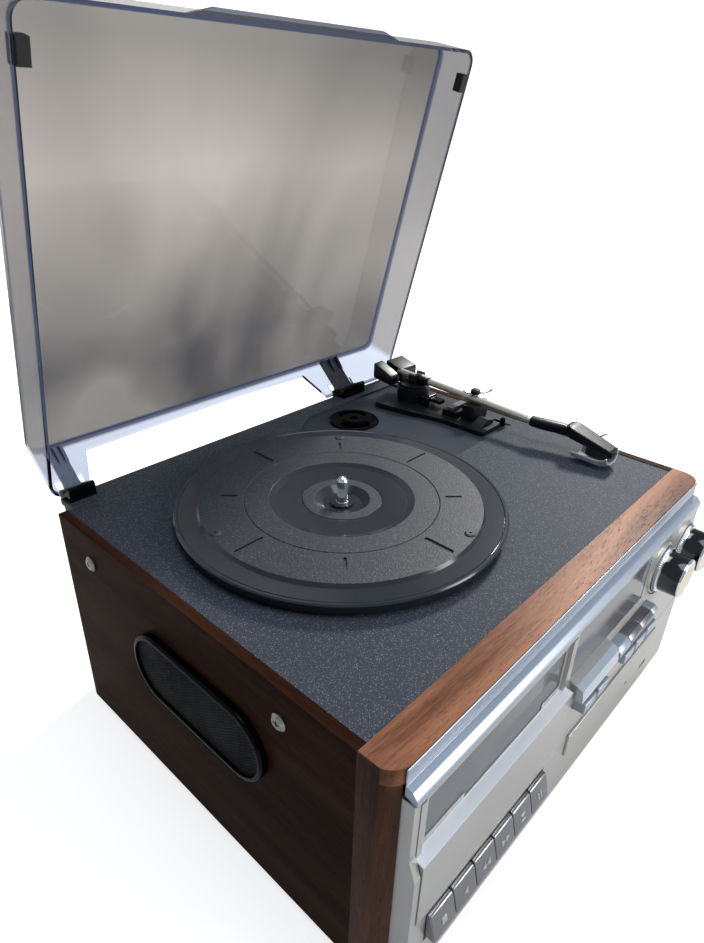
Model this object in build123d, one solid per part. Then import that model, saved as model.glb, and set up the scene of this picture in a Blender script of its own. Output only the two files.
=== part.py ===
from build123d import *
import math
import os

os.makedirs("parts", exist_ok=True)

# Millimetres. X right, Y back, Z up; the origin lies on the resting plane under the cabinet's middle.

# ---- cabinet ----
CAB_W = 355.0  # over the wooden sides
CAB_D = 280.0  # wood, front to back
CAB_H = 160.0  # wood, bottom to top
FOOT_H = 8.0
FOOT_R = 12.0
FOOT_INSET = 24.0
BOARD_T = 9.0
RAIL_D = 20.2  # depth of the front rail
RAIL_T = 10.0
STILE_W = 7.5
FRONT_R = 12.0  # rounding of the upright front corners
REBATE_W = 2.8  # step in the side boards that carries the deck
BASE_T = 10.0
FIT = 0.2  # gap between parts that are assembled and then stay
RUN = 0.05  # radial clearance of a shaft in its bore
GAP = 0.3  # gap between parts that move past each other
WALL = 2.5  # moulded plastic wall
EPS = 0.5  # extra reach of a cutting tool

HALF_W = CAB_W / 2
FRONT_Y = -CAB_D / 2
BACK_Y = CAB_D / 2
SEAM_Y = FRONT_Y + RAIL_D
WOOD_Z = FOOT_H + CAB_H
INNER_X = HALF_W - BOARD_T
OPEN_X = HALF_W - STILE_W
FLOOR_Z = FOOT_H + BASE_T
RAIL_Z = WOOD_Z - RAIL_T

# ---- deck ----
DECK_T = 4.0
DECK_DROP = 0.5  # deck top below the wood's top
OVERHANG = 17.3  # deck behind the wood
DECK_Z = WOOD_Z - DECK_DROP
DECK_LOW = DECK_Z - DECK_T
DECK_X = HALF_W - BOARD_T + REBATE_W
REAR_Y = BACK_Y + OVERHANG
REAR_X = INNER_X - 1.0
HINGE_STRIP = 15.9  # deck behind the wood that stays whole in front of the hinges
NOTCH_Y = BACK_Y + HINGE_STRIP
STEP_A = 1.6  # deeper part of the sunk area
STEP_B = 0.8
STEP_LINE = BACK_Y - 64.7  # where the two depths meet
SUNK_X = HALF_W - 19.5
SUNK_Y0 = BACK_Y - 131.0
SUNK_Y1 = BACK_Y + 1.0

# ---- turntable ----
SPIN_X = -HALF_W + 133.5
SPIN_Y = BACK_Y - 123.9
PLATTER_R = 108.0
LIP_H = 8.5  # lip of the platter above the deck
MAT_H = 10.5
SKIRT_H = 1.5
DISH_H = 9.0
WELL_H = 5.5
HUB_R = 8.0
SPINDLE_R = 3.57
JOURNAL_R = 4.0
SPINDLE_TOP = 25.5
RING_R = 69.0  # drive ring under the platter
PULLEY_R = 6.0
BELT_T = 0.8
BELT_W = 3.6
PULLEY_DIST = 91.0
PULLEY_ANGLE = 150.0
MOTOR_R = 17.0
MOTOR_H = 24.0
ADAPTER_X = HALF_W - 107.4
ADAPTER_Y = BACK_Y - 29.1
ADAPTER_R = 21.5
ADAPTER_T = 5.6

# ---- tone arm ----
PIVOT_X = HALF_W - 38.5
PIVOT_Y = BACK_Y - 38.5
PIVOT_H = 21.5
TUBE_X = PIVOT_X + 4.0
TUBE_R = 3.0
TURRET_R = 14.4
TURRET_H = 15.0
ARM_TILT = 2.2  # nose down on the rest
BASE_H = 3.0

# ---- lid ----
LID_W = CAB_W - 9.0
LID_L = CAB_D + 3.0
LID_H = 31.5
LID_T = 2.2
LID_SLOPE = 18.0  # how far the closed back wall leans forward
LID_R = 11.0
LID_OPEN = 76.0
LID_REST = 1.5  # closed rim above the deck
HINGE_Y = BACK_Y + 19.7
HINGE_H = 1.2
PIN_R = 1.5
BARREL_R = 3.3
LID_BACK = BACK_Y + 22.0

# ---- front ----
FACE_Y = FRONT_Y - 6.1
LOW_Y = FRONT_Y - 10.3
SLOPE_Z0 = WOOD_Z - 56.0
SLOPE_Z1 = WOOD_Z - 67.5
NOSE_Y = FRONT_Y - 7.0
FACE_TOP = WOOD_Z - 18.8
FASCIA_X = OPEN_X - FIT
FASCIA_LOW = 9.5
FASCIA_T = 3.0
DOOR_W = 0.4 * CAB_W
DOOR_X0 = -FASCIA_X + 4.8
DOOR_X1 = DOOR_X0 + DOOR_W
DOOR_Z0 = 61.0
DOOR_LEDGE = SLOPE_Z0 - 4.0
DOOR_SINK = 1.6  # upper door face behind the fascia
DOOR_PIVOT_Y = LOW_Y + 2.6
DOOR_PIVOT_Z = DOOR_Z0 + 3.3
DOOR_DROP = 0.8  # room under the door for its turning edge
KEY_COUNT = 6
KEY_X0 = DOOR_X0 + 9.5
KEY_PITCH = (DOOR_W - 27.4) / KEY_COUNT
KEY_TOP = 57.0
KEY_LOW = 39.0
KEY_PIVOT_Y = FRONT_Y + 14.0
KEY_PIVOT_Z = 50.0
KNOB_Z = WOOD_Z - 43.0
KNOB_X = (FASCIA_X - 61.0, FASCIA_X - 20.0)
KNOB_R = 14.25
KNOB_FLANGE_R = 16.6
KNOB_FLANGE_T = 4.0
KNOB_L = 18.5
SHAFT_R = 3.0
DISPLAY_X0 = DOOR_X1 + 3.0
DISPLAY_X1 = FASCIA_X - 85.8
STEP_X = (DISPLAY_X1 - DISPLAY_X0) / 104  # one step of the button row
BAND_Z0 = SLOPE_Z0 + 0.5
BAND_Z1 = FACE_TOP - 1.2
MODE_STOPS = (51, 67, 85, 104, 113)  # steps from the display's left edge
MODE_X = [(DISPLAY_X0 + a * STEP_X, DISPLAY_X0 + b * STEP_X) for a, b in zip(MODE_STOPS, MODE_STOPS[1:])]
MODE_Z0 = SLOPE_Z1 - 0.9
MODE_Z1 = MODE_Z0 + 7.4
MODE_Y = LOW_Y - 6.7
SMALL_X = [DISPLAY_X0 + a * STEP_X for a in (4, 22, 61, 79, 97)]
SMALL_W = 15 * STEP_X
SMALL_Z0 = MODE_Z0 - 11.6
SMALL_Z1 = SMALL_Z0 + 8.0
DISC_R = 61.0
TRAY_X0 = DISPLAY_X0 + 8.0
TRAY_X1 = TRAY_X0 + 2 * DISC_R + 18.0
TRAY_Z0 = 44.0
TRAY_Z1 = 62.0
TRAY_L = 138.0

# ---- speakers ----
GRILLE_Y = -2.0
GRILLE_Z = WOOD_Z - 60.0
GRILLE_L = 118.0
GRILLE_W = 48.0
GRILLE_H = 5.0
RIM_T = 3.0
DRIVER_R = GRILLE_W / 2 - 5.0
DRIVER_DY = GRILLE_L / 2 - 31.0
SCREW_AT = ((BACK_Y - 35.8, WOOD_Z - 20.7), (FRONT_Y + 69.0, WOOD_Z - 21.3))
SCREW_HEAD_R = 5.0
SCREW_R = 2.0
SCREW_L = 14.0


def block(x0, x1, y0, y1, z0, z1):
    """A box between two corners."""
    middle = Pos((x0 + x1) / 2, (y0 + y1) / 2, (z0 + z1) / 2)
    return middle * Box(abs(x1 - x0), abs(y1 - y0), abs(z1 - z0))


def rod_x(y, z, radius, x0, x1):
    """A round bar along X."""
    return Pos((x0 + x1) / 2, y, z) * Rot(0, 90, 0) * Cylinder(radius, x1 - x0)


def rod_y(x, z, radius, y0, y1):
    """A round bar along Y."""
    return Pos(x, (y0 + y1) / 2, z) * Rot(90, 0, 0) * Cylinder(radius, y1 - y0)


def rod_z(x, y, radius, z0, z1):
    """A round bar along Z."""
    return Pos(x, y, (z0 + z1) / 2) * Cylinder(radius, z1 - z0)


def bar_x(points, x0, x1):
    """An outline of (y, z) points carried along X."""
    return extrude(Plane.YZ.offset(x0) * make_face(Polyline(*points, close=True)), x1 - x0)


def bar_y(points, y0, y1):
    """An outline of (x, z) points carried along Y."""
    return extrude(Plane.XZ.offset(-y1) * make_face(Polyline(*points, close=True)), y1 - y0)


def bar_z(points, z0, z1):
    """An outline of (x, y) points carried along Z."""
    return extrude(Plane.XY.offset(z0) * make_face(Polyline(*points, close=True)), z1 - z0)


def turned(points, x, y):
    """An outline of (radius, z) points turned about an upright axis."""
    return Pos(x, y, 0) * revolve(Plane.XZ * make_face(Polyline(*points, close=True)), Axis.Z)


def turned_y(points, x, z):
    """An outline of (radius, depth) points turned about an axis along Y; depth grows towards -Y."""
    shape = revolve(Plane.XZ * make_face(Polyline(*points, close=True)), Axis.Z)
    return Pos(x, 0, z) * Rot(90, 0, 0) * shape


def about_x(shape, y, z, angle):
    """Turn a shape about an axis along X through (y, z)."""
    return Pos(0, y, z) * Rot(angle, 0, 0) * Pos(0, -y, -z) * shape


def round_up(shape, axis, radius):
    """Round the edges of a shape that run along one axis."""
    return fillet(shape.edges().filter_by(axis), radius)


def save(name, *shapes):
    """Write one node; each separate piece in it is its own solid."""
    solids = []
    for shape in shapes:
        solids.extend(shape.solids())
    export_step(Compound(solids), f"parts/{name}.step")


# =============================== cabinet ===============================

frame = block(-HALF_W, HALF_W, FRONT_Y, SEAM_Y, FOOT_H, WOOD_Z)
front_edges = frame.edges().filter_by(Axis.Z).group_by(Axis.Y)[0]
frame = fillet(front_edges, FRONT_R)
frame -= block(-OPEN_X, OPEN_X, FRONT_Y - EPS, SEAM_Y + EPS, FOOT_H - EPS, RAIL_Z)
save("front_frame", frame)

grille_plane = Plane(origin=(0, GRILLE_Y, GRILLE_Z), x_dir=(0, 1, 0), z_dir=(1, 0, 0))


def stadium(length, width, x0, x1):
    """A long round-ended slab on a side wall, between two X values."""
    face = grille_plane.offset(x0) * SlotOverall(length, width)
    return extrude(face, x1 - x0)


HOLE_L = GRILLE_L - 4 * RIM_T
HOLE_W = GRILLE_W - 4 * RIM_T
board = block(INNER_X, HALF_W, SEAM_Y, BACK_Y, FOOT_H, WOOD_Z)
board -= block(INNER_X - EPS, DECK_X, SEAM_Y - EPS, BACK_Y + EPS, DECK_LOW, WOOD_Z + EPS)
board -= stadium(HOLE_L, HOLE_W, INNER_X - EPS, HALF_W + EPS)
for y, z in SCREW_AT:
    board -= rod_x(y, z, SCREW_R + RUN, INNER_X - EPS, HALF_W + EPS)
save("side_panel_right", board)
save("side_panel_left", mirror(board, Plane.YZ))

base = block(-INNER_X, INNER_X, FRONT_Y, BACK_Y, FOOT_H, FLOOR_Z)
save("bottom_board", base)

FOOT_X = HALF_W - FOOT_INSET
FOOT_Y = BACK_Y - FOOT_INSET
foot_profile = ((0, 0), (FOOT_R - 1, 0), (FOOT_R, 1), (FOOT_R - 1, FOOT_H), (0, FOOT_H))
# Four feet near the corners and one under the middle, which keeps the floor board from sagging.
foot_places = [(-FOOT_X, -FOOT_Y), (-FOOT_X, FOOT_Y), (0, 0), (FOOT_X, -FOOT_Y), (FOOT_X, FOOT_Y)]
feet = [turned(foot_profile, x, y) for x, y in foot_places]
save("feet", *feet)

# Moulded cover over the works at the back, open towards the cabinet.
cover = block(-REAR_X, REAR_X, BACK_Y, REAR_Y - 1, FOOT_H + 2, DECK_LOW)
cover = fillet(cover.edges().filter_by(Axis.Z).group_by(Axis.Y)[-1], 4)
cover -= block(-REAR_X + WALL, REAR_X - WALL, BACK_Y - EPS, REAR_Y - 1 - WALL,
               FOOT_H + 2 + WALL, DECK_LOW - WALL)
SOCKET_Z = 38.0
SOCKET_X = (-40.0, -24.0, 0.0, 16.0)
SOCKET_R = 6.0
INLET_X = 90.0
INLET_W = 22.0
INLET_H = 14.0
for x in SOCKET_X:
    cover -= rod_y(x, SOCKET_Z, SOCKET_R, REAR_Y - 2 * WALL - 1, REAR_Y)
cover -= block(INLET_X - INLET_W / 2, INLET_X + INLET_W / 2, REAR_Y - 2 * WALL - 1, REAR_Y,
               SOCKET_Z - INLET_H / 2, SOCKET_Z + INLET_H / 2)
VENT_COUNT = 9
VENT_PITCH = 9.0
for i in range(VENT_COUNT):
    x = -110 + VENT_PITCH * i
    cover -= block(x, x + 3, REAR_Y - 2 * WALL - 1, REAR_Y, WOOD_Z - 78, WOOD_Z - 38)
save("rear_cover", cover)

# =============================== deck ===============================

deck = block(-DECK_X, DECK_X, SEAM_Y, BACK_Y, DECK_LOW, DECK_Z)
deck += block(-REAR_X, REAR_X, BACK_Y - 1, REAR_Y, DECK_LOW, DECK_Z)
deep = ((SUNK_X - 128, STEP_LINE), (SUNK_X, STEP_LINE), (SUNK_X, SUNK_Y1), (SUNK_X - 112, SUNK_Y1),
        (SUNK_X - 138, SUNK_Y1 - 16), (SUNK_X - 150, SUNK_Y1 - 41))
deck -= bar_z(deep, DECK_Z - STEP_A, DECK_Z + EPS)
deck -= block(SUNK_X - 108, SUNK_X, SUNK_Y0, STEP_LINE, DECK_Z - STEP_B, DECK_Z + EPS)
CUP_R = ADAPTER_R + GAP
CUP_FLOOR = DECK_Z - 6.0
deck += rod_z(ADAPTER_X, ADAPTER_Y, CUP_R + WALL, CUP_FLOOR - WALL, DECK_LOW + EPS)
deck -= rod_z(ADAPTER_X, ADAPTER_Y, CUP_R, CUP_FLOOR, DECK_Z + EPS)
SHOULDER_R = 6.0
deck -= rod_z(SPIN_X, SPIN_Y, SHOULDER_R + RUN, DECK_LOW - EPS, DECK_Z + EPS)
MOTOR_X = SPIN_X + PULLEY_DIST * math.cos(math.radians(PULLEY_ANGLE))
MOTOR_Y = SPIN_Y + PULLEY_DIST * math.sin(math.radians(PULLEY_ANGLE))
deck -= rod_z(MOTOR_X, MOTOR_Y, PULLEY_R + 1.5, DECK_LOW - EPS, DECK_Z + EPS)
# Lugs under the deck take the side screws.
LUG_IN = 8.0
for sx in (-1, 1):
    for y, z in SCREW_AT:
        x0 = sx * INNER_X
        lug = block(x0 - sx * LUG_IN, x0, y - 6, y + 6, z - 6, DECK_LOW + EPS)
        deck += lug - rod_x(y, z, SCREW_R + RUN, -HALF_W, HALF_W)
KNUCKLES = ((LID_W / 2 - 77, LID_W / 2 - 49), (-LID_W / 2 + 7.5, -LID_W / 2 + 26))
for x0, x1 in KNUCKLES:
    deck -= block(x0 - FIT, x1 + FIT, NOTCH_Y, REAR_Y + EPS, DECK_LOW - EPS, DECK_Z + EPS)
save("deck_plate", deck)

screws = []
for y, z in SCREW_AT:
    head = ((0, 0), (SCREW_HEAD_R, 0), (SCREW_HEAD_R, 0.8), (SCREW_HEAD_R - 1.4, 2.0), (0, 2.2))
    screw = Pos(HALF_W, y, z) * Rot(0, 90, 0) * turned(head, 0, 0)
    screw += rod_x(y, z, SCREW_R, HALF_W - SCREW_L, HALF_W + 0.4)
    cross = block(HALF_W + 1.0, HALF_W + 3, y - 2.2, y + 2.2, z - 0.45, z + 0.45)
    cross += block(HALF_W + 1.0, HALF_W + 3, y - 0.45, y + 0.45, z - 2.2, z + 2.2)
    screw -= cross
    screws += [screw, mirror(screw, Plane.YZ)]
save("side_screws", *screws)

# =============================== speakers ===============================

MESH_T = 1.2
ring = stadium(GRILLE_L, GRILLE_W, HALF_W, HALF_W + GRILLE_H)
ring -= stadium(GRILLE_L - 2 * RIM_T, GRILLE_W - 2 * RIM_T, HALF_W - EPS, HALF_W + GRILLE_H + EPS)
save("speaker_rings", ring, mirror(ring, Plane.YZ))
MESH_X = HALF_W + GRILLE_H - 0.4
mesh = stadium(GRILLE_L - 2 * RIM_T - RUN, GRILLE_W - 2 * RIM_T - RUN, MESH_X - MESH_T, MESH_X)
MESH_ROWS = 11
MESH_PITCH = (GRILLE_W - 2 * RIM_T - 8) / (MESH_ROWS - 1)
for i in range(MESH_ROWS):
    z = GRILLE_Z + MESH_PITCH * (i - (MESH_ROWS - 1) / 2)
    half = GRILLE_L / 2 - GRILLE_W / 2 + math.sqrt((GRILLE_W / 2 - RIM_T - 2) ** 2 - (z - GRILLE_Z) ** 2)
    mesh -= block(MESH_X - 2 * MESH_T, MESH_X + EPS, GRILLE_Y - half, GRILLE_Y + half, z - 0.6, z + 0.6)
save("speaker_meshes", mesh, mirror(mesh, Plane.YZ))
drivers = []
# Each driver is turned about its own axis, which points out of the cabinet.
driver_profile = (
    (0, -20), (9, -20), (9, -12), (6, -12), (DRIVER_R - 2, -1.5), (DRIVER_R + 1, -1.5),
    (DRIVER_R + 1, 0), (DRIVER_R - 2, 0), (DRIVER_R - 3, 0.8), (DRIVER_R - 5, -1.0), (6, -9), (5, -6), (0, -5),
)
for dy in (-DRIVER_DY, DRIVER_DY):
    driver = Pos(INNER_X - 2, GRILLE_Y + dy, GRILLE_Z) * Rot(0, 90, 0) * turned(driver_profile, 0, 0)
    drivers += [driver, mirror(driver, Plane.YZ)]
baffle = stadium(HOLE_L + 8, HOLE_W + 12, INNER_X - 2, INNER_X)
for dy in (-DRIVER_DY, DRIVER_DY):
    baffle -= Pos(0, dy, 0) * rod_x(GRILLE_Y, GRILLE_Z, DRIVER_R - 2, INNER_X - 3, INNER_X + EPS)
save("speaker_drivers", *drivers, baffle, mirror(baffle, Plane.YZ))

# =============================== turntable ===============================

LIP_Z = DECK_Z + LIP_H
MAT_Z = DECK_Z + MAT_H
SKIRT_Z = DECK_Z + SKIRT_H
DISH_Z = DECK_Z + DISH_H
WELL_Z = DECK_Z + WELL_H
UNDER_Z = LIP_Z - WALL
HUB_Z = WELL_Z + 1.5
BOSS_R = 16.0
SHOULDER_Z = DECK_Z + 1.0
BOSS_Z = SHOULDER_Z + 0.1
BORE_R = JOURNAL_R + RUN
SKIRT_R = PLATTER_R - 1.5
platter_profile = (
    (BORE_R, HUB_Z), (HUB_R, HUB_Z), (HUB_R, WELL_Z), (13, WELL_Z), (18.3, DISH_Z),
    (25.6, DISH_Z), (26, DISH_Z - 0.4), (26.4, DISH_Z), (43, DISH_Z), (47.5, MAT_Z),
    (63.3, MAT_Z), (63.8, MAT_Z - 0.5), (64.3, MAT_Z), (91.8, MAT_Z), (93.6, LIP_Z),
    (104.8, LIP_Z), (105.3, LIP_Z - 0.4), (105.8, LIP_Z), (PLATTER_R - 0.8, LIP_Z),
    (PLATTER_R, LIP_Z - 0.9), (SKIRT_R, SKIRT_Z), (SKIRT_R - WALL, SKIRT_Z), (SKIRT_R - WALL, UNDER_Z),
    (RING_R, UNDER_Z), (RING_R, SKIRT_Z - 0.2), (RING_R - 3, SKIRT_Z - 0.2), (RING_R - 3, UNDER_Z),
    (30, UNDER_Z), (BOSS_R + 2, WELL_Z - 3), (BOSS_R + 2, BOSS_Z), (BORE_R, BOSS_Z),
)
platter = turned(platter_profile, SPIN_X, SPIN_Y)
SPLINES = 12
for i in range(SPLINES):
    a = math.radians(360 / SPLINES * i)
    platter -= rod_z(SPIN_X + (HUB_R + 0.3) * math.cos(a), SPIN_Y + (HUB_R + 0.3) * math.sin(a),
                     0.9, WELL_Z, HUB_Z + EPS)
SLOT_START = 68.0
SLOT_LONG = 89.0
SLOT_SHORT = 79.0
SLOT_DEPTH = 1.0
for i in range(8):
    stop = SLOT_LONG if i % 2 == 0 else SLOT_SHORT
    width = 3.0 if i % 4 == 2 else 2.0
    slot = block(SLOT_START, stop, -width / 2, width / 2, MAT_Z - SLOT_DEPTH, MAT_Z + EPS)
    platter -= Pos(SPIN_X, SPIN_Y, 0) * Rot(0, 0, 45 * i) * round_up(slot, Axis.Z, width / 2 - 0.05)
BUMP_AT = 88.0
for angle in (45, 165, 285):
    a = math.radians(angle)
    bx = SPIN_X + BUMP_AT * math.cos(a)
    by = SPIN_Y + BUMP_AT * math.sin(a)
    platter += turned(((0, MAT_Z - 1), (3.4, MAT_Z - 1), (3.4, MAT_Z + 0.4), (2.6, MAT_Z + 0.9), (0, MAT_Z + 0.9)),
                      bx, by)
    platter -= rod_z(bx, by, 0.9, MAT_Z, MAT_Z + 2)
save("platter", platter)

STEP_Z = HUB_Z + 0.1  # the journal ends at the hub and the record pin starts
TIP_Z = DECK_Z + SPINDLE_TOP
FLANGE_R = 14.0
spindle_profile = (
    (0, DECK_LOW - 12), (JOURNAL_R, DECK_LOW - 12), (JOURNAL_R, DECK_LOW - 3), (FLANGE_R, DECK_LOW - 3),
    (FLANGE_R, DECK_LOW), (SHOULDER_R, DECK_LOW), (SHOULDER_R, SHOULDER_Z), (JOURNAL_R, SHOULDER_Z),
    (JOURNAL_R, STEP_Z), (SPINDLE_R, STEP_Z), (SPINDLE_R, TIP_Z - 3.2), (SPINDLE_R - 1.4, TIP_Z - 1.0),
    (0.6, TIP_Z), (0, TIP_Z),
)
save("spindle", turned(spindle_profile, SPIN_X, SPIN_Y))

PULLEY_Z0 = SKIRT_Z - 0.3
PULLEY_Z1 = UNDER_Z - 0.4
BELT_Z0 = (PULLEY_Z0 + PULLEY_Z1 - BELT_W) / 2
MOTOR_SHAFT_R = 1.2
MOTOR_TOP = DECK_LOW - 2.0
pulley_profile = (
    (0, MOTOR_TOP - 16), (MOTOR_SHAFT_R, MOTOR_TOP - 16), (MOTOR_SHAFT_R, DECK_LOW), (3, DECK_LOW),
    (3, PULLEY_Z0 - 0.6), (PULLEY_R + 1, PULLEY_Z0 - 0.6), (PULLEY_R + 1, PULLEY_Z0 - 0.1),
    (PULLEY_R, PULLEY_Z0), (PULLEY_R, PULLEY_Z1), (0, PULLEY_Z1),
)
save("motor_pulley", turned(pulley_profile, MOTOR_X, MOTOR_Y))
motor = rod_z(MOTOR_X, MOTOR_Y, MOTOR_R, MOTOR_TOP - MOTOR_H, MOTOR_TOP)
plate = block(-MOTOR_R - 8, MOTOR_R + 8, -9, 9, MOTOR_TOP, DECK_LOW)
motor += Pos(MOTOR_X, MOTOR_Y, 0) * round_up(plate, Axis.Z, 5)
motor -= rod_z(MOTOR_X, MOTOR_Y, MOTOR_SHAFT_R + RUN, MOTOR_TOP - 16.4, DECK_LOW + EPS)
motor -= rod_z(MOTOR_X, MOTOR_Y, 3.6, MOTOR_TOP, DECK_LOW + EPS)
save("turntable_motor", motor)

# The belt is the outline round the drive ring and the pulley, held a hair off both.
BIG_R = RING_R + GAP
SMALL_R = PULLEY_R + GAP


def belt_outline(extra):
    """Drive ring and pulley circles joined by their outer tangents, each grown by extra."""
    big = BIG_R + extra
    small = SMALL_R + extra
    lean = math.acos((big - small) / PULLEY_DIST)
    cos_l = math.cos(lean)
    sin_l = math.sin(lean)
    start = (big * cos_l, big * sin_l)
    near = (PULLEY_DIST + small * cos_l, small * sin_l)
    upper = Line(start, near)
    round_small = ThreePointArc(near, (PULLEY_DIST + small, 0), (near[0], -near[1]))
    lower = Line((near[0], -near[1]), (start[0], -start[1]))
    round_big = ThreePointArc((start[0], -start[1]), (-big, 0), start)
    return make_face([upper, round_small, lower, round_big])


belt_place = Pos(SPIN_X, SPIN_Y, BELT_Z0) * Rot(0, 0, PULLEY_ANGLE)
belt = extrude(belt_outline(BELT_T), BELT_W) - extrude(belt_outline(0), BELT_W)
save("drive_belt", belt_place * belt)

ADAPTER_Z0 = CUP_FLOOR + 0.1
ADAPTER_Z1 = ADAPTER_Z0 + ADAPTER_T
adapter = rod_z(0, 0, ADAPTER_R, ADAPTER_Z0, ADAPTER_Z1)
adapter = chamfer(adapter.edges().group_by(Axis.Z)[-1], 0.8)
adapter += rod_z(0, 0, 9.5, ADAPTER_Z1 - 1, ADAPTER_Z1 + 1.2)
adapter -= rod_z(0, 0, 3.65, ADAPTER_Z0 - 1, ADAPTER_Z1 + 2)
crescent = rod_z(0, 0, 18.2, ADAPTER_Z0 - 1, ADAPTER_Z1 + 1) - rod_z(0, 0, 11.5, ADAPTER_Z0 - 2, ADAPTER_Z1 + 2)
crescent &= block(-12, 12, 6, 25, ADAPTER_Z0 - 1, ADAPTER_Z1 + 1)
adapter -= Rot(0, 0, -40) * crescent
adapter -= Rot(0, 0, 140) * crescent
save("adapter_45", Pos(ADAPTER_X, ADAPTER_Y, 0) * adapter)

# =============================== tone arm ===============================

BASE_Z = DECK_Z + BASE_H
BASE_X1 = SUNK_X - FIT
BASE_Y0 = PIVOT_Y - 87.5
BASE_Y1 = PIVOT_Y + 17.5
outline = ((PIVOT_X - 33, BASE_Y1), (PIVOT_X - 30, PIVOT_Y - 1.5), (PIVOT_X - 25, PIVOT_Y - 25.5),
           (PIVOT_X - 20, PIVOT_Y - 47.5), (PIVOT_X - 19, PIVOT_Y - 71.5), (PIVOT_X - 18.5, BASE_Y0),
           (BASE_X1, BASE_Y0), (BASE_X1, BASE_Y1))
arm_base = bar_z(outline, DECK_Z - STEP_A - EPS, BASE_Z)
arm_base = round_up(arm_base, Axis.Z, 2.5)
TURRET_Z = DECK_Z + TURRET_H
arm_base += rod_z(PIVOT_X, PIVOT_Y, TURRET_R, BASE_Z - 1, TURRET_Z)
POST_SHAFT_R = 3.0
arm_base -= rod_z(PIVOT_X, PIVOT_Y, POST_SHAFT_R + RUN, BASE_Z, TURRET_Z + EPS)
# Slot of the speed switch, then the seats of the rest post, the lift and its lever.
SWITCH_X = PIVOT_X + 12.0
SWITCH_Y = PIVOT_Y - 84.5
SWITCH_TRAVEL = 6.0
switch_slot = block(SWITCH_X - 2, SWITCH_X + 2, SWITCH_Y - 6, SWITCH_Y + 6, BASE_Z - 2.4, BASE_Z + EPS)
arm_base -= switch_slot
arm_base -= deck

switch = block(SWITCH_X - 1.7, SWITCH_X + 1.7, SWITCH_Y - 5.7, SWITCH_Y + 5.7 - SWITCH_TRAVEL,
               BASE_Z - 2.3, BASE_Z - 0.6)
switch += block(SWITCH_X - 1.5, SWITCH_X + 1.5, SWITCH_Y - 4.4, SWITCH_Y - 1.4, BASE_Z - 1, BASE_Z + 4)
save("speed_switch", switch)

PIVOT_Z = DECK_Z + PIVOT_H
YOKE_Z = TURRET_Z + GAP
CHEEK_T = 2.5
CHEEK_IN = 4.6
GIMBAL_R = 1.2
yoke = rod_z(PIVOT_X, PIVOT_Y, TURRET_R - 2.5, YOKE_Z, YOKE_Z + 2)
yoke += rod_z(PIVOT_X, PIVOT_Y, POST_SHAFT_R, BASE_Z + 0.4, YOKE_Z + 1)
for sx in (-1, 1):
    x0 = TUBE_X + sx * CHEEK_IN
    cheek = block(min(x0, x0 + sx * CHEEK_T), max(x0, x0 + sx * CHEEK_T), PIVOT_Y - 4, PIVOT_Y + 4,
                  YOKE_Z + 1, PIVOT_Z + 4)
    yoke += cheek
yoke += rod_x(PIVOT_Y, PIVOT_Z, GIMBAL_R, TUBE_X - CHEEK_IN - 1, TUBE_X + CHEEK_IN + 1)
save("tonearm_yoke", yoke)


def laid(shape):
    """Lay a level arm piece on its rest: nose down about the lift axis."""
    return about_x(shape, PIVOT_Y, PIVOT_Z, ARM_TILT)


TUBE_FRONT = PIVOT_Y - 120.5
TUBE_BACK = PIVOT_Y + 20.5
tube_bore = rod_y(TUBE_X, PIVOT_Z, TUBE_R + RUN, TUBE_FRONT, TUBE_BACK)
gimbal_bore = rod_x(PIVOT_Y, PIVOT_Z, GIMBAL_R + RUN, TUBE_X - 6, TUBE_X + 6)
tube = rod_y(TUBE_X, PIVOT_Z, TUBE_R, TUBE_FRONT, TUBE_BACK) - gimbal_bore
COLLAR = 3.9
collar = block(TUBE_X - COLLAR, TUBE_X + COLLAR, PIVOT_Y - 4.5, PIVOT_Y + 4.5, PIVOT_Z - 3.9, PIVOT_Z + 4)
collar -= tube_bore + gimbal_bore
# The neck is pushed over the tube's end, bends outwards and carries the head shell.
NECK_W = 6.4
NECK_Y0 = TUBE_FRONT + 3.0
NECK_Y1 = TUBE_FRONT - 27.0
SHELL_X = TUBE_X + 7.0
neck = bar_z(((TUBE_X - NECK_W / 2 - 0.6, NECK_Y0), (TUBE_X + NECK_W / 2 + 0.6, NECK_Y0),
              (TUBE_X + NECK_W / 2 + 1, NECK_Y0 - 10), (SHELL_X + NECK_W / 2, NECK_Y1),
              (SHELL_X - NECK_W / 2, NECK_Y1), (TUBE_X - NECK_W / 2 + 1, NECK_Y0 - 14)),
             PIVOT_Z - 3.9, PIVOT_Z + 3.9)
neck = round_up(neck, Axis.Z, 1.2) - tube_bore
save("tonearm_tube", laid(tube), laid(collar), laid(neck))

CW_X0 = PIVOT_X - 12.0
CW_X1 = PIVOT_X + 24.0
CW_Y0 = PIVOT_Y + 16.1
CW_Y1 = PIVOT_Y + 37.9
SLOT_X0 = PIVOT_X - 0.5
SLOT_X1 = PIVOT_X + 2.0
left_side = ((CW_Y0, DECK_Z + 12.4), (CW_Y0, DECK_Z + 21.0), (CW_Y1, DECK_Z + 29.4), (CW_Y1, DECK_Z + 15.1))
right_side = ((CW_Y0, DECK_Z + 12.4), (CW_Y0, DECK_Z + 24.4), (CW_Y1 - 3, DECK_Z + 29.4),
              (CW_Y1 - 3, DECK_Z + 15.1))
weight = round_up(bar_x(left_side, CW_X0, SLOT_X0), Axis.X, 1.0)
weight += round_up(bar_x(right_side, SLOT_X1, CW_X1), Axis.X, 1.0)
weight += block(SLOT_X0 - 1, SLOT_X1 + 1, CW_Y0 + 8, CW_Y1 - 4, DECK_Z + 15, DECK_Z + 22)
weight -= rod_x(PIVOT_Y + 24, DECK_Z + 18.6, 1.0, CW_X0 - 1, CW_X0 + 1.5)
tube_place = laid(rod_y(TUBE_X, PIVOT_Z, TUBE_R, TUBE_FRONT, TUBE_BACK))
weight -= tube_place
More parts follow.
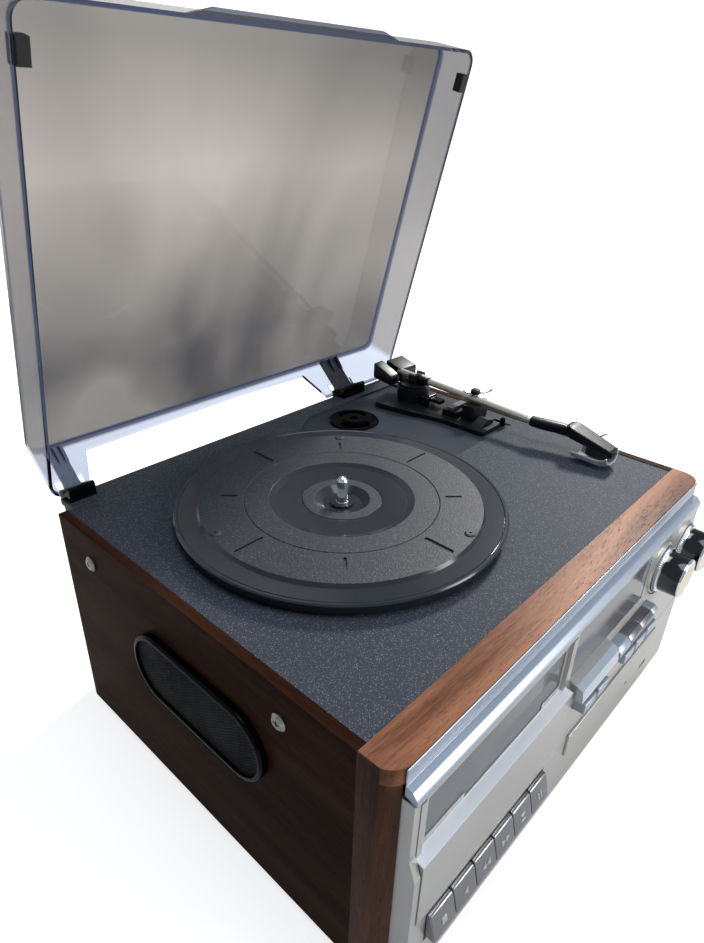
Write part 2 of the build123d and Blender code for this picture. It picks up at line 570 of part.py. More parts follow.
save("counterweight", weight)

SHELL_Y0 = NECK_Y1
SHELL_Y1 = SHELL_Y0 - 38.0
shell_root = Plane.XZ.offset(-SHELL_Y0) * Pos(SHELL_X, DECK_Z + 18.4) * Rectangle(16.5, 9.0)
shell_end = Plane.XZ.offset(-SHELL_Y1) * Pos(SHELL_X - 4, DECK_Z + 11.4) * Rectangle(12.0, 5.2)
shell = loft([shell_root, shell_end])
shell = fillet(shell.edges().filter_by(lambda e: abs(e.center().Y - (SHELL_Y0 + SHELL_Y1) / 2) < 2), 1.4)
LIFT_Y = SHELL_Y0 - 20.0
shell += bar_y(((SHELL_X + 4, DECK_Z + 15), (SHELL_X + 10, DECK_Z + 16.4), (SHELL_X + 18, DECK_Z + 15.4),
                (SHELL_X + 18, DECK_Z + 14.2), (SHELL_X + 10, DECK_Z + 15), (SHELL_X + 4, DECK_Z + 13.4)),
               LIFT_Y - 2.5, LIFT_Y + 2.5)
save("headshell", shell - laid(neck))

CART_Y0 = SHELL_Y1 + 3.0
CART_Y1 = CART_Y0 + 17.0
cart = bar_x(((CART_Y0, DECK_Z + 4.6), (CART_Y0, DECK_Z + 14), (CART_Y1, DECK_Z + 17), (CART_Y1, DECK_Z + 5.4),
              (CART_Y1 - 4, DECK_Z + 4.2)), SHELL_X - 8, SHELL_X + 1.5)
cart -= shell
cart += block(SHELL_X - 4, SHELL_X - 2.6, CART_Y0 + 1, CART_Y0 + 8, DECK_Z + 2.8, DECK_Z + 5)
save("cartridge", max(cart.solids(), key=lambda s: s.volume))

GUARD_X0 = SHELL_X - 17.0
GUARD_X1 = SHELL_X + 4.0
GUARD_Y0 = SHELL_Y1 - 2.0
GUARD_Y1 = GUARD_Y0 + 28.0
guard = bar_x(((GUARD_Y0, DECK_Z + 1.4), (GUARD_Y0, DECK_Z + 7.5), (GUARD_Y1, DECK_Z + 8.5), (GUARD_Y1, DECK_Z + 2.6)),
              GUARD_X0, GUARD_X1)
guard -= block(SHELL_X - 8, SHELL_X + 1.5, CART_Y0, GUARD_Y1 + 1, DECK_Z + 2.6, DECK_Z + 12)
save("stylus_guard", guard - cart)

# Rest post with an open side towards the platter, and the clip that holds the tube on it.
CLIP_Y = PIVOT_Y - 62.0
REST_X0 = TUBE_X - 11.0
REST_X1 = TUBE_X + 12.0
REST_Y0 = CLIP_Y - 7.5
REST_Y1 = CLIP_Y + 4.5
CLIP_W = 4.0
TUBE_AT = PIVOT_Z - (PIVOT_Y - CLIP_Y) * math.tan(math.radians(ARM_TILT))
BED_Z = TUBE_AT - TUBE_R - 0.35
CLIP_X = TUBE_X + 5.0
CLIP_Z = DECK_Z + 10.0
SLOT_HALF = CLIP_W / 2 + GAP
post = round_up(block(REST_X0, REST_X1, REST_Y0, REST_Y1, BASE_Z, BED_Z), Axis.Z, 1.5)
post -= block(TUBE_X - 1, REST_X1 + EPS, CLIP_Y - SLOT_HALF, CLIP_Y + SLOT_HALF, DECK_Z + 6, DECK_Z + 19)
post += rod_y(CLIP_X, CLIP_Z, GIMBAL_R, CLIP_Y - CLIP_W, CLIP_Y + CLIP_W)
# Two cheeks stand on the post behind the tube, one each side of the clip.
CHEEK_X0 = TUBE_X + TUBE_R + 1.2
cheek_front = block(CHEEK_X0, REST_X1 - 1.5, REST_Y0 + 1, CLIP_Y - SLOT_HALF, BED_Z, DECK_Z + 18)
cheek_back = block(CHEEK_X0, REST_X1 - 1.5, CLIP_Y + SLOT_HALF, REST_Y1 - 1, BED_Z, DECK_Z + 18)
RAMP_Y1 = REST_Y0 - 2.5
ramp = bar_y(((TUBE_X - 19, BASE_Z), (TUBE_X + 2, BASE_Z), (TUBE_X + 2, DECK_Z + 5.5), (TUBE_X - 5, DECK_Z + 7.5)),
             RAMP_Y1 - 10, RAMP_Y1)
save("arm_rest_post", post, cheek_front, cheek_back, ramp)

HOOK_IN = TUBE_R + 0.7
HOOK_OUT = HOOK_IN + 1.6
hook = rod_y(TUBE_X, TUBE_AT, HOOK_OUT, CLIP_Y - CLIP_W / 2, CLIP_Y + CLIP_W / 2)
hook -= rod_y(TUBE_X, TUBE_AT, HOOK_IN, CLIP_Y - CLIP_W, CLIP_Y + CLIP_W)
hook &= bar_y(((TUBE_X - 1.4, TUBE_AT), (TUBE_X - 1.4, TUBE_AT + 9), (TUBE_X + 9, TUBE_AT + 9),
               (TUBE_X + 9, TUBE_AT - 3.6)), CLIP_Y - CLIP_W, CLIP_Y + CLIP_W)
hook += bar_y(((TUBE_X + HOOK_IN + 0.4, TUBE_AT), (TUBE_X + HOOK_OUT + 0.6, TUBE_AT),
               (CLIP_X + 3, CLIP_Z), (CLIP_X - 1.6, CLIP_Z)), CLIP_Y - CLIP_W / 2, CLIP_Y + CLIP_W / 2)
hook += rod_y(CLIP_X, CLIP_Z, 3.0, CLIP_Y - CLIP_W / 2, CLIP_Y + CLIP_W / 2)
hook -= rod_y(CLIP_X, CLIP_Z, GIMBAL_R + RUN, CLIP_Y - CLIP_W, CLIP_Y + CLIP_W)
WING_Z = DECK_Z + 28.6
wing = bar_y(((TUBE_X - 1, TUBE_AT + HOOK_IN + 0.4), (TUBE_X + 3, TUBE_AT + HOOK_IN), (TUBE_X + 3.4, WING_Z - 3.6),
              (TUBE_X + 10, WING_Z - 1.4), (TUBE_X + 10, WING_Z), (TUBE_X + 2, WING_Z - 1.8),
              (TUBE_X - 8, WING_Z), (TUBE_X - 8, WING_Z - 1.4), (TUBE_X - 0.6, WING_Z - 3.6)),
             CLIP_Y - CLIP_W / 2, CLIP_Y + CLIP_W / 2)
save("arm_clip", hook + wing)

# Arm lift: a platform in a guide block, raised by a lever beside it.
GUIDE_X0 = TUBE_X - 15.0
GUIDE_X1 = TUBE_X + 7.0
GUIDE_Y0 = REST_Y1 + 2.0
GUIDE_Y1 = GUIDE_Y0 + 15.0
GUIDE_Z = DECK_Z + 8.0
PLAT_TRAVEL = 2.5
guide = block(GUIDE_X0, GUIDE_X1, GUIDE_Y0, GUIDE_Y1, BASE_Z, GUIDE_Z)
guide = round_up(guide, Axis.Z, 1.5)
LIFT_X = TUBE_X - 3.0
LIFT_Y0 = (GUIDE_Y0 + GUIDE_Y1) / 2
STEM_R = 2.0
guide -= rod_z(LIFT_X, LIFT_Y0, STEM_R + RUN, BASE_Z, GUIDE_Z + EPS)
LEVER_Y = PIVOT_Y - 19.5
LEVER_X0 = TUBE_X - 9.6
LEVER_X1 = TUBE_X + 2.0
BRACKET_X1 = LEVER_X0 - 0.4
LEVER_Z = DECK_Z + 8.0
bracket = block(BRACKET_X1 - 3, BRACKET_X1, LEVER_Y - 4, LEVER_Y + 4, BASE_Z, LEVER_Z + 3)
bracket += rod_x(LEVER_Y, LEVER_Z, GIMBAL_R, BRACKET_X1 - 1, LEVER_X1 + 1)
save("tonearm_base", arm_base, guide, bracket)
platform = block(GUIDE_X0 + 1, GUIDE_X1 - 1, LIFT_Y0 - 3, LIFT_Y0 + 3, GUIDE_Z + GAP, GUIDE_Z + 3)
platform += rod_z(LIFT_X, LIFT_Y0, STEM_R, BASE_Z + 0.4, GUIDE_Z + 1)
save("lift_platform", platform)
lever = rod_x(LEVER_Y, LEVER_Z, 3.2, LEVER_X0, LEVER_X1)
lever += block(LEVER_X0 + 2.6, LEVER_X1 - 2, LEVER_Y - 13, LEVER_Y, LEVER_Z - 1.5, LEVER_Z + 1.5)
lever -= rod_x(LEVER_Y, LEVER_Z, GIMBAL_R + RUN, LEVER_X0 - 1, LEVER_X1 + 1)
save("cue_lever", lever)

# =============================== lid ===============================

RIM_Z = DECK_Z + LID_REST
HINGE_Z = DECK_Z + HINGE_H
LID_FRONT = LID_BACK - LID_L


def lid_form(inset, low, high):
    """The closed lid's outer form, moved in on every wall by inset, between two heights."""
    lean = LID_SLOPE / LID_H
    back_low = LID_BACK - inset * math.hypot(1, lean) - lean * (low - RIM_Z)
    back_high = LID_BACK - inset * math.hypot(1, lean) - lean * (high - RIM_Z)
    front = LID_FRONT + inset
    points = ((front, low), (back_low, low), (back_high, high), (front + 1.5, high))
    form = bar_x(points, -LID_W / 2 + inset, LID_W / 2 - inset)
    upright = form.edges().filter_by(lambda e: abs(e.center().Z - (low + high) / 2) < 1 and e.length > 10)
    upright = [e for e in upright if e.length < 60]
    return fillet(upright, max(LID_R - inset, 2))


TOP_Z = RIM_Z + LID_H
lid = lid_form(0, RIM_Z, TOP_Z)
lid = fillet(lid.faces().sort_by(Axis.Z)[-1].edges(), 2.0)
cavity = lid_form(LID_T, RIM_Z - 1, TOP_Z - LID_T)
lid -= cavity
# Wide low opening in the back wall, between the two hinges.
ARCH_Z = TOP_Z - 9.5
ARCH_X0 = KNUCKLES[1][1] + 2.0
ARCH_X1 = KNUCKLES[0][0] - 8.0
arch = bar_y(((ARCH_X0, RIM_Z - 1), (ARCH_X1, RIM_Z - 1), (ARCH_X1 - 13, ARCH_Z + 1), (0, ARCH_Z + 2.5),
              (ARCH_X0 + 10, ARCH_Z)), LID_BACK - LID_SLOPE - 34, LID_BACK + EPS)
lid -= arch
EAR_T = 3.5
for x0, x1 in KNUCKLES:
    lid -= block(x0 - 1, x1 + 1, LID_BACK - 22, LID_BACK + EPS, RIM_Z - 1, RIM_Z + 9.0)
LIP_OUT = 4.0
LIP_HALF = LID_W / 4
lip = bar_z(((-LIP_HALF, LID_FRONT + 1), (LIP_HALF, LID_FRONT + 1), (LIP_HALF - 20, LID_FRONT - LIP_OUT),
             (-LIP_HALF + 20, LID_FRONT - LIP_OUT)), RIM_Z, RIM_Z + LID_T)
lid += lip


def opened(shape):
    """Turn a closed-lid shape back about the hinge to where the photograph shows it."""
    return about_x(shape, HINGE_Y, HINGE_Z, -LID_OPEN)


save("lid", opened(lid))

bumpers = []
for sx in (-1, 1):
    x0 = sx * (LID_W / 2 - LID_T)
    pad = block(x0 - sx * 7, x0, LID_FRONT + 16, LID_FRONT + 28, RIM_Z - 1.1, RIM_Z + 6)
    bumpers.append(opened(round_up(pad, Axis.Y, 1.0)))
save("lid_bumpers", *bumpers)

# Blades lie on the inner face of the back wall; each has a barrel on the hinge pin.
lean = LID_SLOPE / LID_H
slant = math.hypot(1, lean)


def wall_y(z):
    """Inner face of the closed back wall at a height."""
    return LID_BACK - LID_T * slant - lean * (z - RIM_Z)


BLADE_T = 2.4
BLADE_TOP = TOP_Z - LID_T - 2.0
blades = []
knuckles = []
for x0, x1 in KNUCKLES:
    b0 = x0 + EAR_T + GAP
    b1 = x1 - EAR_T - GAP
    low = RIM_Z + 2.0
    blade = bar_x(((wall_y(low), low), (wall_y(BLADE_TOP), BLADE_TOP),
                   (wall_y(BLADE_TOP) - BLADE_T, BLADE_TOP), (wall_y(low) - BLADE_T, low)), b0, b1)
    for rib in (b0, (b0 + b1) / 2 - 1, b1 - 2):
        blade += bar_x(((wall_y(low + 12) - 1, low + 12), (wall_y(BLADE_TOP) - 1, BLADE_TOP),
                        (wall_y(BLADE_TOP) - BLADE_T - 2.2, BLADE_TOP - 2),
                        (wall_y(low + 13) - BLADE_T - 2.2, low + 14)), rib, rib + 2)
    blade += rod_x(HINGE_Y, HINGE_Z, BARREL_R, b0, b1)
    blade += bar_x(((HINGE_Y - 2.6, HINGE_Z - 1.6), (HINGE_Y + 1.8, HINGE_Z + 2.6), (wall_y(low + 3), low + 3),
                    (wall_y(low + 3) - BLADE_T, low + 3)), b0, b1)
    blade -= rod_x(HINGE_Y, HINGE_Z, PIN_R + RUN, b0 - 1, b1 + 1)
    blades.append(opened(blade))
    body = bar_x(((HINGE_Y - 12.7, DECK_Z), (HINGE_Y - 12.7, DECK_Z + 9.5), (HINGE_Y - 9.5, DECK_Z + 9.5),
                  (HINGE_Y - 4.5, DECK_Z)), x0, x1)
    body = chamfer(body.edges().filter_by(Axis.X).group_by(Axis.Z)[-1].group_by(Axis.Y)[0], 1.2)
    for e0 in (x0, x1 - EAR_T):
        ear = bar_x(((HINGE_Y - 6.7, DECK_Z), (HINGE_Y - 9.5, DECK_Z + 9.0), (HINGE_Y + 1.4, HINGE_Z + 3.1),
                     (HINGE_Y + 3.4, HINGE_Z), (REAR_Y, DECK_Z)), e0, e0 + EAR_T)
        body += ear + rod_x(HINGE_Y, HINGE_Z, 3.4, e0, e0 + EAR_T)
    body -= rod_x(HINGE_Y, HINGE_Z, PIN_R, x0 - 1, x1 + 1)
    knuckles.append(body)
    knuckles.append(rod_x(HINGE_Y, HINGE_Z, PIN_R, x0, x1))
save("hinge_blades", *blades)
save("hinge_knuckles", *knuckles)

# =============================== front ===============================

trim_profile = (
    (FRONT_Y, WOOD_Z - 0.5), (FRONT_Y - 0.9, WOOD_Z - 0.8), (FRONT_Y - 0.5, WOOD_Z - 3.5),
    (FRONT_Y - 0.4, WOOD_Z - 8), (FRONT_Y - 1.1, WOOD_Z - 9.8), (FRONT_Y - 0.4, WOOD_Z - 10.2),
    (FRONT_Y - 0.4, WOOD_Z - 11), (FRONT_Y - 1.4, WOOD_Z - 11.2), (FRONT_Y - 3.9, WOOD_Z - 11.8),
    (NOSE_Y, WOOD_Z - 15.5), (NOSE_Y, FACE_TOP), (FRONT_Y, FACE_TOP),
)
save("nose_trim", bar_x(trim_profile, -FASCIA_X + 0.6, FASCIA_X - 0.6))

FASCIA_BACK = FRONT_Y + 6.0
skin = (
    (FACE_Y, FACE_TOP), (FACE_Y, SLOPE_Z0), (LOW_Y, SLOPE_Z1), (LOW_Y, FASCIA_LOW),
    (LOW_Y + FASCIA_T, FASCIA_LOW), (LOW_Y + FASCIA_T, SLOPE_Z1), (FACE_Y + FASCIA_T, SLOPE_Z0),
    (FACE_Y + FASCIA_T, FACE_TOP),
)
fascia = bar_x(skin, -FASCIA_X, FASCIA_X)
full = (
    (FACE_Y, FACE_TOP), (FACE_Y, SLOPE_Z0), (LOW_Y, SLOPE_Z1), (LOW_Y, FASCIA_LOW),
    (LOW_Y + FASCIA_T, FASCIA_LOW), (FRONT_Y, FLOOR_Z), (FASCIA_BACK, FLOOR_Z), (FASCIA_BACK, FACE_TOP),
)
for sx in (-1, 1):
    x0 = sx * FASCIA_X
    fascia += bar_x(full, min(x0, x0 - sx * WALL), max(x0, x0 - sx * WALL))
fascia += block(-FASCIA_X, FASCIA_X, FACE_Y + 1, FASCIA_BACK, FACE_TOP - WALL, FACE_TOP)
fascia += block(-FASCIA_X, FASCIA_X, LOW_Y + 1, FRONT_Y, FLOOR_Z, FLOOR_Z + WALL)
# Door opening.
fascia -= block(DOOR_X0 - GAP, DOOR_X1 + GAP, LOW_Y - 2, FASCIA_BACK + 1, DOOR_Z0 - DOOR_DROP, FACE_TOP - WALL)
# Slot row of the deck keys.
KEYS_X1 = KEY_X0 + KEY_PITCH * KEY_COUNT
KEY_SLOT_Z0 = KEY_LOW - 5.0
fascia -= block(KEY_X0 - GAP, KEYS_X1 + GAP, LOW_Y - 1, LOW_Y + FASCIA_T + 1, KEY_SLOT_Z0, KEY_TOP + 1.2)
# Display and knob band, set back behind a bright rim.
fascia -= block(DISPLAY_X0, DISPLAY_X1, FACE_Y - 1, FACE_Y + 1.6, BAND_Z0, BAND_Z1)
fascia -= block(DISPLAY_X0 + 6, DISPLAY_X1 - 6, FACE_Y - 1, FACE_Y + 4, BAND_Z0 + 6, BAND_Z1 - 6)
for x in KNOB_X:
    fascia -= rod_y(x, KNOB_Z, 19.6, LOW_Y - 8, FACE_Y)
    fascia += turned_y(((19.6, -FACE_Y), (18.6, -FACE_Y + 1.4), (17.6, -FACE_Y + 1.4), (17.6, -FACE_Y)), x, KNOB_Z)
    fascia -= rod_y(x, KNOB_Z, SHAFT_R + 1.0, FACE_Y - 2, FACE_Y + 4)
# Ledge above the mode keys, with the long bar at its left.
BAR_X0 = DISPLAY_X0
BAR_X1 = MODE_X[0][0] - 1.0
fascia += bar_x(((FACE_Y, SLOPE_Z0), (LOW_Y - 5.2, SLOPE_Z0 - 3.2), (LOW_Y - 6.2, MODE_Z0), (LOW_Y, MODE_Z0),
                 (LOW_Y, SLOPE_Z1), (FACE_Y + 0.5, SLOPE_Z0)), BAR_X0, BAR_X1)
for x0, x1 in MODE_X:
    fascia -= block(x0 - 0.01, x1 + 0.01, LOW_Y - 1, FACE_Y + FASCIA_T + 3, MODE_Z0 - GAP, MODE_Z1 + GAP)
for x0 in SMALL_X:
    fascia -= block(x0 - GAP, x0 + SMALL_W + GAP, LOW_Y - 1, LOW_Y + FASCIA_T + 1, SMALL_Z0 - GAP, SMALL_Z1 + GAP)
# Disc drawer slot, a shallow line above it, and the small sockets.
fascia -= block(TRAY_X0 - GAP, TRAY_X1 + GAP, LOW_Y - 1, LOW_Y + FASCIA_T + 1, TRAY_Z0 - GAP, TRAY_Z1 + GAP)
EDGE_Z = 68.0
fascia -= bar_x(((LOW_Y - 1, EDGE_Z), (LOW_Y + 0.6, EDGE_Z + 0.6), (LOW_Y - 1, EDGE_Z + 1.6)), DOOR_X1 + 2, FASCIA_X)
PHONE_X = TRAY_X1 - 36.0
PHONE_Z = 30.0
USB_X = TRAY_X1 - 3.0
USB_Z = 26.0
fascia -= rod_y(PHONE_X, PHONE_Z, 1.8, LOW_Y - 1, LOW_Y + 1)
fascia -= block(USB_X - 6.2, USB_X + 6.2, LOW_Y - 1, LOW_Y + 1, USB_Z - 2.3, USB_Z + 2.3)
save("front_fascia", fascia)

lens = block(DISPLAY_X0, DISPLAY_X1, FACE_Y + 0.2, FACE_Y + 1.6, BAND_Z0, BAND_Z1)
save("display_lens", round_up(lens, Axis.Y, 1.0))

# Cassette door: sunk window above, plain lower panel, hinged at its lower edge.
UP_Y = FACE_Y + DOOR_SINK
DOOR_TOP = FACE_TOP - WALL - GAP
door_skin = (
    (UP_Y, DOOR_TOP), (UP_Y, DOOR_LEDGE + 0.8), (LOW_Y - 0.7, DOOR_LEDGE - 0.6), (LOW_Y - 0.7, DOOR_Z0 + 2.5),
    (LOW_Y + 0.6, DOOR_Z0), (LOW_Y + 2.2, DOOR_Z0), (LOW_Y + 2.2, DOOR_LEDGE - 3.2), (UP_Y + 2.5, DOOR_LEDGE - 2),
    (UP_Y + 2.5, DOOR_TOP),
)
door = bar_x(door_skin, DOOR_X0, DOOR_X1)
BEVEL_W = 4.0
door += block(DOOR_X0, DOOR_X0 + BEVEL_W, FACE_Y - 0.4, UP_Y + 1, DOOR_LEDGE, DOOR_TOP)
door += block(DOOR_X1 - BEVEL_W, DOOR_X1, FACE_Y - 0.4, UP_Y + 1, DOOR_LEDGE, DOOR_TOP)
WIN_X0 = DOOR_X0 + 8.0
WIN_X1 = DOOR_X1 - 8.0
WIN_Z0 = DOOR_LEDGE + 6.0
WIN_Z1 = DOOR_TOP - 5.0
NOTCH_X0 = DOOR_X0 + 40.0
NOTCH_X1 = DOOR_X1 - 27.0
NOTCH_H = 4.0
window_hole = block(WIN_X0, WIN_X1, UP_Y - 1, UP_Y + 3, WIN_Z0, WIN_Z1)
window_hole += block(NOTCH_X0, NOTCH_X1, UP_Y - 1, UP_Y + 3, WIN_Z0 - NOTCH_H, WIN_Z0 + 1)
door -= window_hole
for sx in (DOOR_X0 + 1, DOOR_X1 - 4):
    door += bar_x(((LOW_Y + 1, DOOR_Z0), (DOOR_PIVOT_Y + 2.6, DOOR_Z0), (DOOR_PIVOT_Y + 2.6, DOOR_PIVOT_Z + 3),
                   (LOW_Y + 1, DOOR_PIVOT_Z + 8)), sx, sx + 3)
DOOR_PIN_R = 1.5
DOOR_ARM = 2.0
door -= rod_x(DOOR_PIVOT_Y, DOOR_PIVOT_Z, DOOR_PIN_R + RUN, DOOR_X0 - 1, DOOR_X0 + 6)
door -= rod_x(DOOR_PIVOT_Y, DOOR_PIVOT_Z, DOOR_PIN_R + RUN, DOOR_X1 - 6, DOOR_X1 + 1)
door -= rod_x(DOOR_PIVOT_Y, DOOR_PIVOT_Z, DOOR_ARM + 0.4, DOOR_X0 + 4, DOOR_X0 + 9)
door -= rod_x(DOOR_PIVOT_Y, DOOR_PIVOT_Z, DOOR_ARM + 0.4, DOOR_X1 - 9, DOOR_X1 - 4)
save("cassette_door", door)
window = block(WIN_X0, WIN_X1, UP_Y + 0.5, UP_Y + 2.5, WIN_Z0, WIN_Z1)
window += block(NOTCH_X0, NOTCH_X1, UP_Y + 0.5, UP_Y + 2.5, WIN_Z0 - NOTCH_H, WIN_Z0 + 1)
save("cassette_window", window)

# Six deck keys on one rod.
ROD_R = 1.5
key_profile = (
    (KEY_PIVOT_Y - 1, KEY_PIVOT_Z - 3), (KEY_PIVOT_Y - 1, KEY_PIVOT_Z + 3), (LOW_Y + 4, KEY_PIVOT_Z + 3),
    (LOW_Y + 3.6, KEY_TOP), (LOW_Y - 1.8, KEY_TOP), (LOW_Y - 3.0, KEY_TOP - 1.6), (LOW_Y - 6.7, KEY_LOW + 1.5),
    (LOW_Y - 5.4, KEY_LOW), (LOW_Y + 3.6, KEY_LOW), (LOW_Y + 4, KEY_PIVOT_Z - 3),
)
for i in range(KEY_COUNT):
    x0 = KEY_X0 + KEY_PITCH * i + GAP
    x1 = KEY_X0 + KEY_PITCH * (i + 1) - GAP
    key = bar_x(key_profile, x0, x1)
    key += rod_x(KEY_PIVOT_Y, KEY_PIVOT_Z, 3.4, x0, x1)
    key -= rod_x(KEY_PIVOT_Y, KEY_PIVOT_Z, ROD_R + RUN, x0 - 1, x1 + 1)
    save(f"cassette_key_{i + 1}", key)

MECH_Y = KEY_PIVOT_Y + 6.0
MECH_X0 = KEY_X0 - 4.0
MECH_X1 = DOOR_X1 - 5.0
mech = block(MECH_X0, MECH_X1, MECH_Y, MECH_Y + 3, FLOOR_Z, DOOR_TOP)
for x0 in (MECH_X0, MECH_X1 - 3):
    mech += block(x0, x0 + 3, KEY_PIVOT_Y - 4, MECH_Y + 1, KEY_PIVOT_Z - 6, KEY_PIVOT_Z + 6)
mech += rod_x(KEY_PIVOT_Y, KEY_PIVOT_Z, ROD_R, MECH_X0, MECH_X1)
DOOR_MID = (DOOR_X0 + DOOR_X1) / 2
for x0, x1 in ((DOOR_X0 + 5, DOOR_X0 + 8), (DOOR_X1 - 8, DOOR_X1 - 5)):
    mech += block(x0, x1, DOOR_PIVOT_Y, MECH_Y + 1, DOOR_PIVOT_Z - DOOR_ARM, DOOR_PIVOT_Z + DOOR_ARM)
    mech += rod_x(DOOR_PIVOT_Y, DOOR_PIVOT_Z, DOOR_ARM, x0, x1)
mech += rod_x(DOOR_PIVOT_Y, DOOR_PIVOT_Z, DOOR_PIN_R, DOOR_X0 + 1, DOOR_X0 + 6)
mech += rod_x(DOOR_PIVOT_Y, DOOR_PIVOT_Z, DOOR_PIN_R, DOOR_X1 - 6, DOOR_X1 - 1)
REEL_DX = 21.25
REEL_Z = DOOR_TOP - 18.4
for dx in (-REEL_DX, REEL_DX):
    mech += rod_y(DOOR_MID + dx, REEL_Z, 4.6, MECH_Y - 12, MECH_Y + 1)
mech += block(DOOR_MID - 14, DOOR_MID + 14, MECH_Y - 12, MECH_Y + 1, REEL_Z - 32, REEL_Z - 20)
save("cassette_mechanism", mech)

# Mode keys and small buttons: push straight in, each held by a flange behind the skin.
for i, (x0, x1) in enumerate(MODE_X):
    a = x0 + GAP / 2
    b = x1 - GAP / 2
    key = bar_x(((MODE_Y, MODE_Z0 + 0.8), (MODE_Y + 0.8, MODE_Z0), (LOW_Y + 5.5, MODE_Z0), (LOW_Y + 5.5, MODE_Z1),
                 (MODE_Y + 3, MODE_Z1), (MODE_Y, MODE_Z1 - 3)), a, b)
    key += block(a, b, LOW_Y + FASCIA_T + GAP, LOW_Y + FASCIA_T + 1.5, MODE_Z0 - 1.5, MODE_Z0 + 1)
    save(f"mode_key_{i + 1}", key)
for i, x0 in enumerate(SMALL_X):
    button = block(x0, x0 + SMALL_W, LOW_Y - 2.2, LOW_Y + FASCIA_T + 1, SMALL_Z0, SMALL_Z1)
    front = button.faces().sort_by(Axis.Y)[0].edges()
    button = fillet(front, 0.8)
    button += block(x0 - 1, x0 + SMALL_W + 1, LOW_Y + FASCIA_T + 0.3, LOW_Y + FASCIA_T + 1.5,
                    SMALL_Z0 - 1, SMALL_Z1 + 0.6)
    save(f"small_button_{i + 1}", button)

# Knobs.
KNOB_BACK = FACE_Y - 0.4
for name, x in zip(("volume_knob", "tuning_knob"), KNOB_X):
    start = -KNOB_BACK
    knob = turned_y((
        (0, start), (KNOB_FLANGE_R - 0.6, start), (KNOB_FLANGE_R, start + 0.6),
        (KNOB_FLANGE_R, start + KNOB_FLANGE_T - 0.8), (KNOB_FLANGE_R - 0.8, start + KNOB_FLANGE_T),
        (KNOB_R + 0.3, start + KNOB_FLANGE_T), (KNOB_R, start + KNOB_L - 1.4), (KNOB_R - 1.2, start + KNOB_L),
        (KNOB_R - 2.2, start + KNOB_L - 0.5), (0, start + KNOB_L - 0.5),
    ), x, KNOB_Z)
    knob += rod_y(x, KNOB_Z, SHAFT_R, KNOB_BACK - 1, FACE_Y + 14)
    save(name, knob)

# Disc drawer: front panel, runners and the round well for the disc.
PANEL_T = 4.0
TRAY_BASE_Z = TRAY_Z0 + 4.0
TRAY_TOP_Z = TRAY_Z0 + 10.0
tray = block(TRAY_X0, TRAY_X1, LOW_Y - 1.6, LOW_Y + PANEL_T - 1.6, TRAY_Z0, TRAY_Z1)
tray = fillet(tray.faces().sort_by(Axis.Y)[0].edges(), 0.8)
TRAY_BACK = LOW_Y + TRAY_L
TRAY_MID_X = (TRAY_X0 + TRAY_X1) / 2
DISC_Y = LOW_Y + PANEL_T + 2 + DISC_R
tray += block(TRAY_X0 + 4, TRAY_X1 - 4, LOW_Y + PANEL_T - 2, TRAY_BACK, TRAY_BASE_Z, TRAY_TOP_Z)
tray -= rod_z(TRAY_MID_X, DISC_Y, DISC_R, TRAY_TOP_Z - 3, TRAY_TOP_Z + EPS)
tray -= rod_z(TRAY_MID_X, DISC_Y, 17, TRAY_BASE_Z - EPS, TRAY_TOP_Z + EPS)
tray -= block(TRAY_MID_X - 17, TRAY_MID_X + 17, DISC_Y, TRAY_BACK + EPS, TRAY_BASE_Z - EPS, TRAY_TOP_Z + EPS)
save("cd_tray", tray)

DRIVE_X0 = TRAY_X0 - 1.0
DRIVE_X1 = TRAY_X1 + 1.0
DRIVE_Y0 = FASCIA_BACK + 2.0
DRIVE_Y1 = TRAY_BACK + 22.0
DRIVE_Z1 = TRAY_Z1 + 12.0
drive = block(DRIVE_X0, DRIVE_X1, DRIVE_Y0, DRIVE_Y1, TRAY_Z0 - 10, DRIVE_Z1)
drive -= block(TRAY_X0 + 4 - GAP, TRAY_X1 - 4 + GAP, DRIVE_Y0 - EPS, TRAY_BACK + GAP, TRAY_BASE_Z - GAP, DRIVE_Z1 - 3)
# Bench with the disc motor and clamp, between the tray's arms.
drive += rod_z(TRAY_MID_X, DISC_Y, 14, TRAY_Z0 - 8, TRAY_BASE_Z - GAP - 0.5)
for sx in (DRIVE_X0 + 8, DRIVE_X1 - 8):
    for y in (DRIVE_Y0 + 10, DRIVE_Y1 - 10):
        drive += rod_z(sx, y, 5, FLOOR_Z, TRAY_Z0 - 9)
save("cd_mechanism", drive)

# =============================== electronics ===============================

MAIN_X0 = -HALF_W + 27.5
MAIN_X1 = MAIN_X0 + 120.0
BOARD_Z = FLOOR_Z + 6.0
boards = []
main = block(MAIN_X0, MAIN_X1, -60, 60, BOARD_Z, BOARD_Z + 1.6)
for x in (MAIN_X0 + 6, MAIN_X1 - 6):
    for y in (-54, 54):
        main += rod_z(x, y, 3, FLOOR_Z, BOARD_Z + 0.5)
main += block(MAIN_X0 + 20, MAIN_X0 + 50, -40, 10, BOARD_Z + 1, BOARD_Z + 16)
for x in (MAIN_X1 - 20, MAIN_X1 - 36):
    main += rod_z(x, 30, 6, BOARD_Z + 1, BOARD_Z + 22)
boards.append(main)
transformer = block(INLET_X - 30, INLET_X + 20, BACK_Y - 80, BACK_Y - 36, FLOOR_Z, FLOOR_Z + 42)
transformer = chamfer(transformer.edges().filter_by(Axis.Z), 2)
boards.append(transformer)
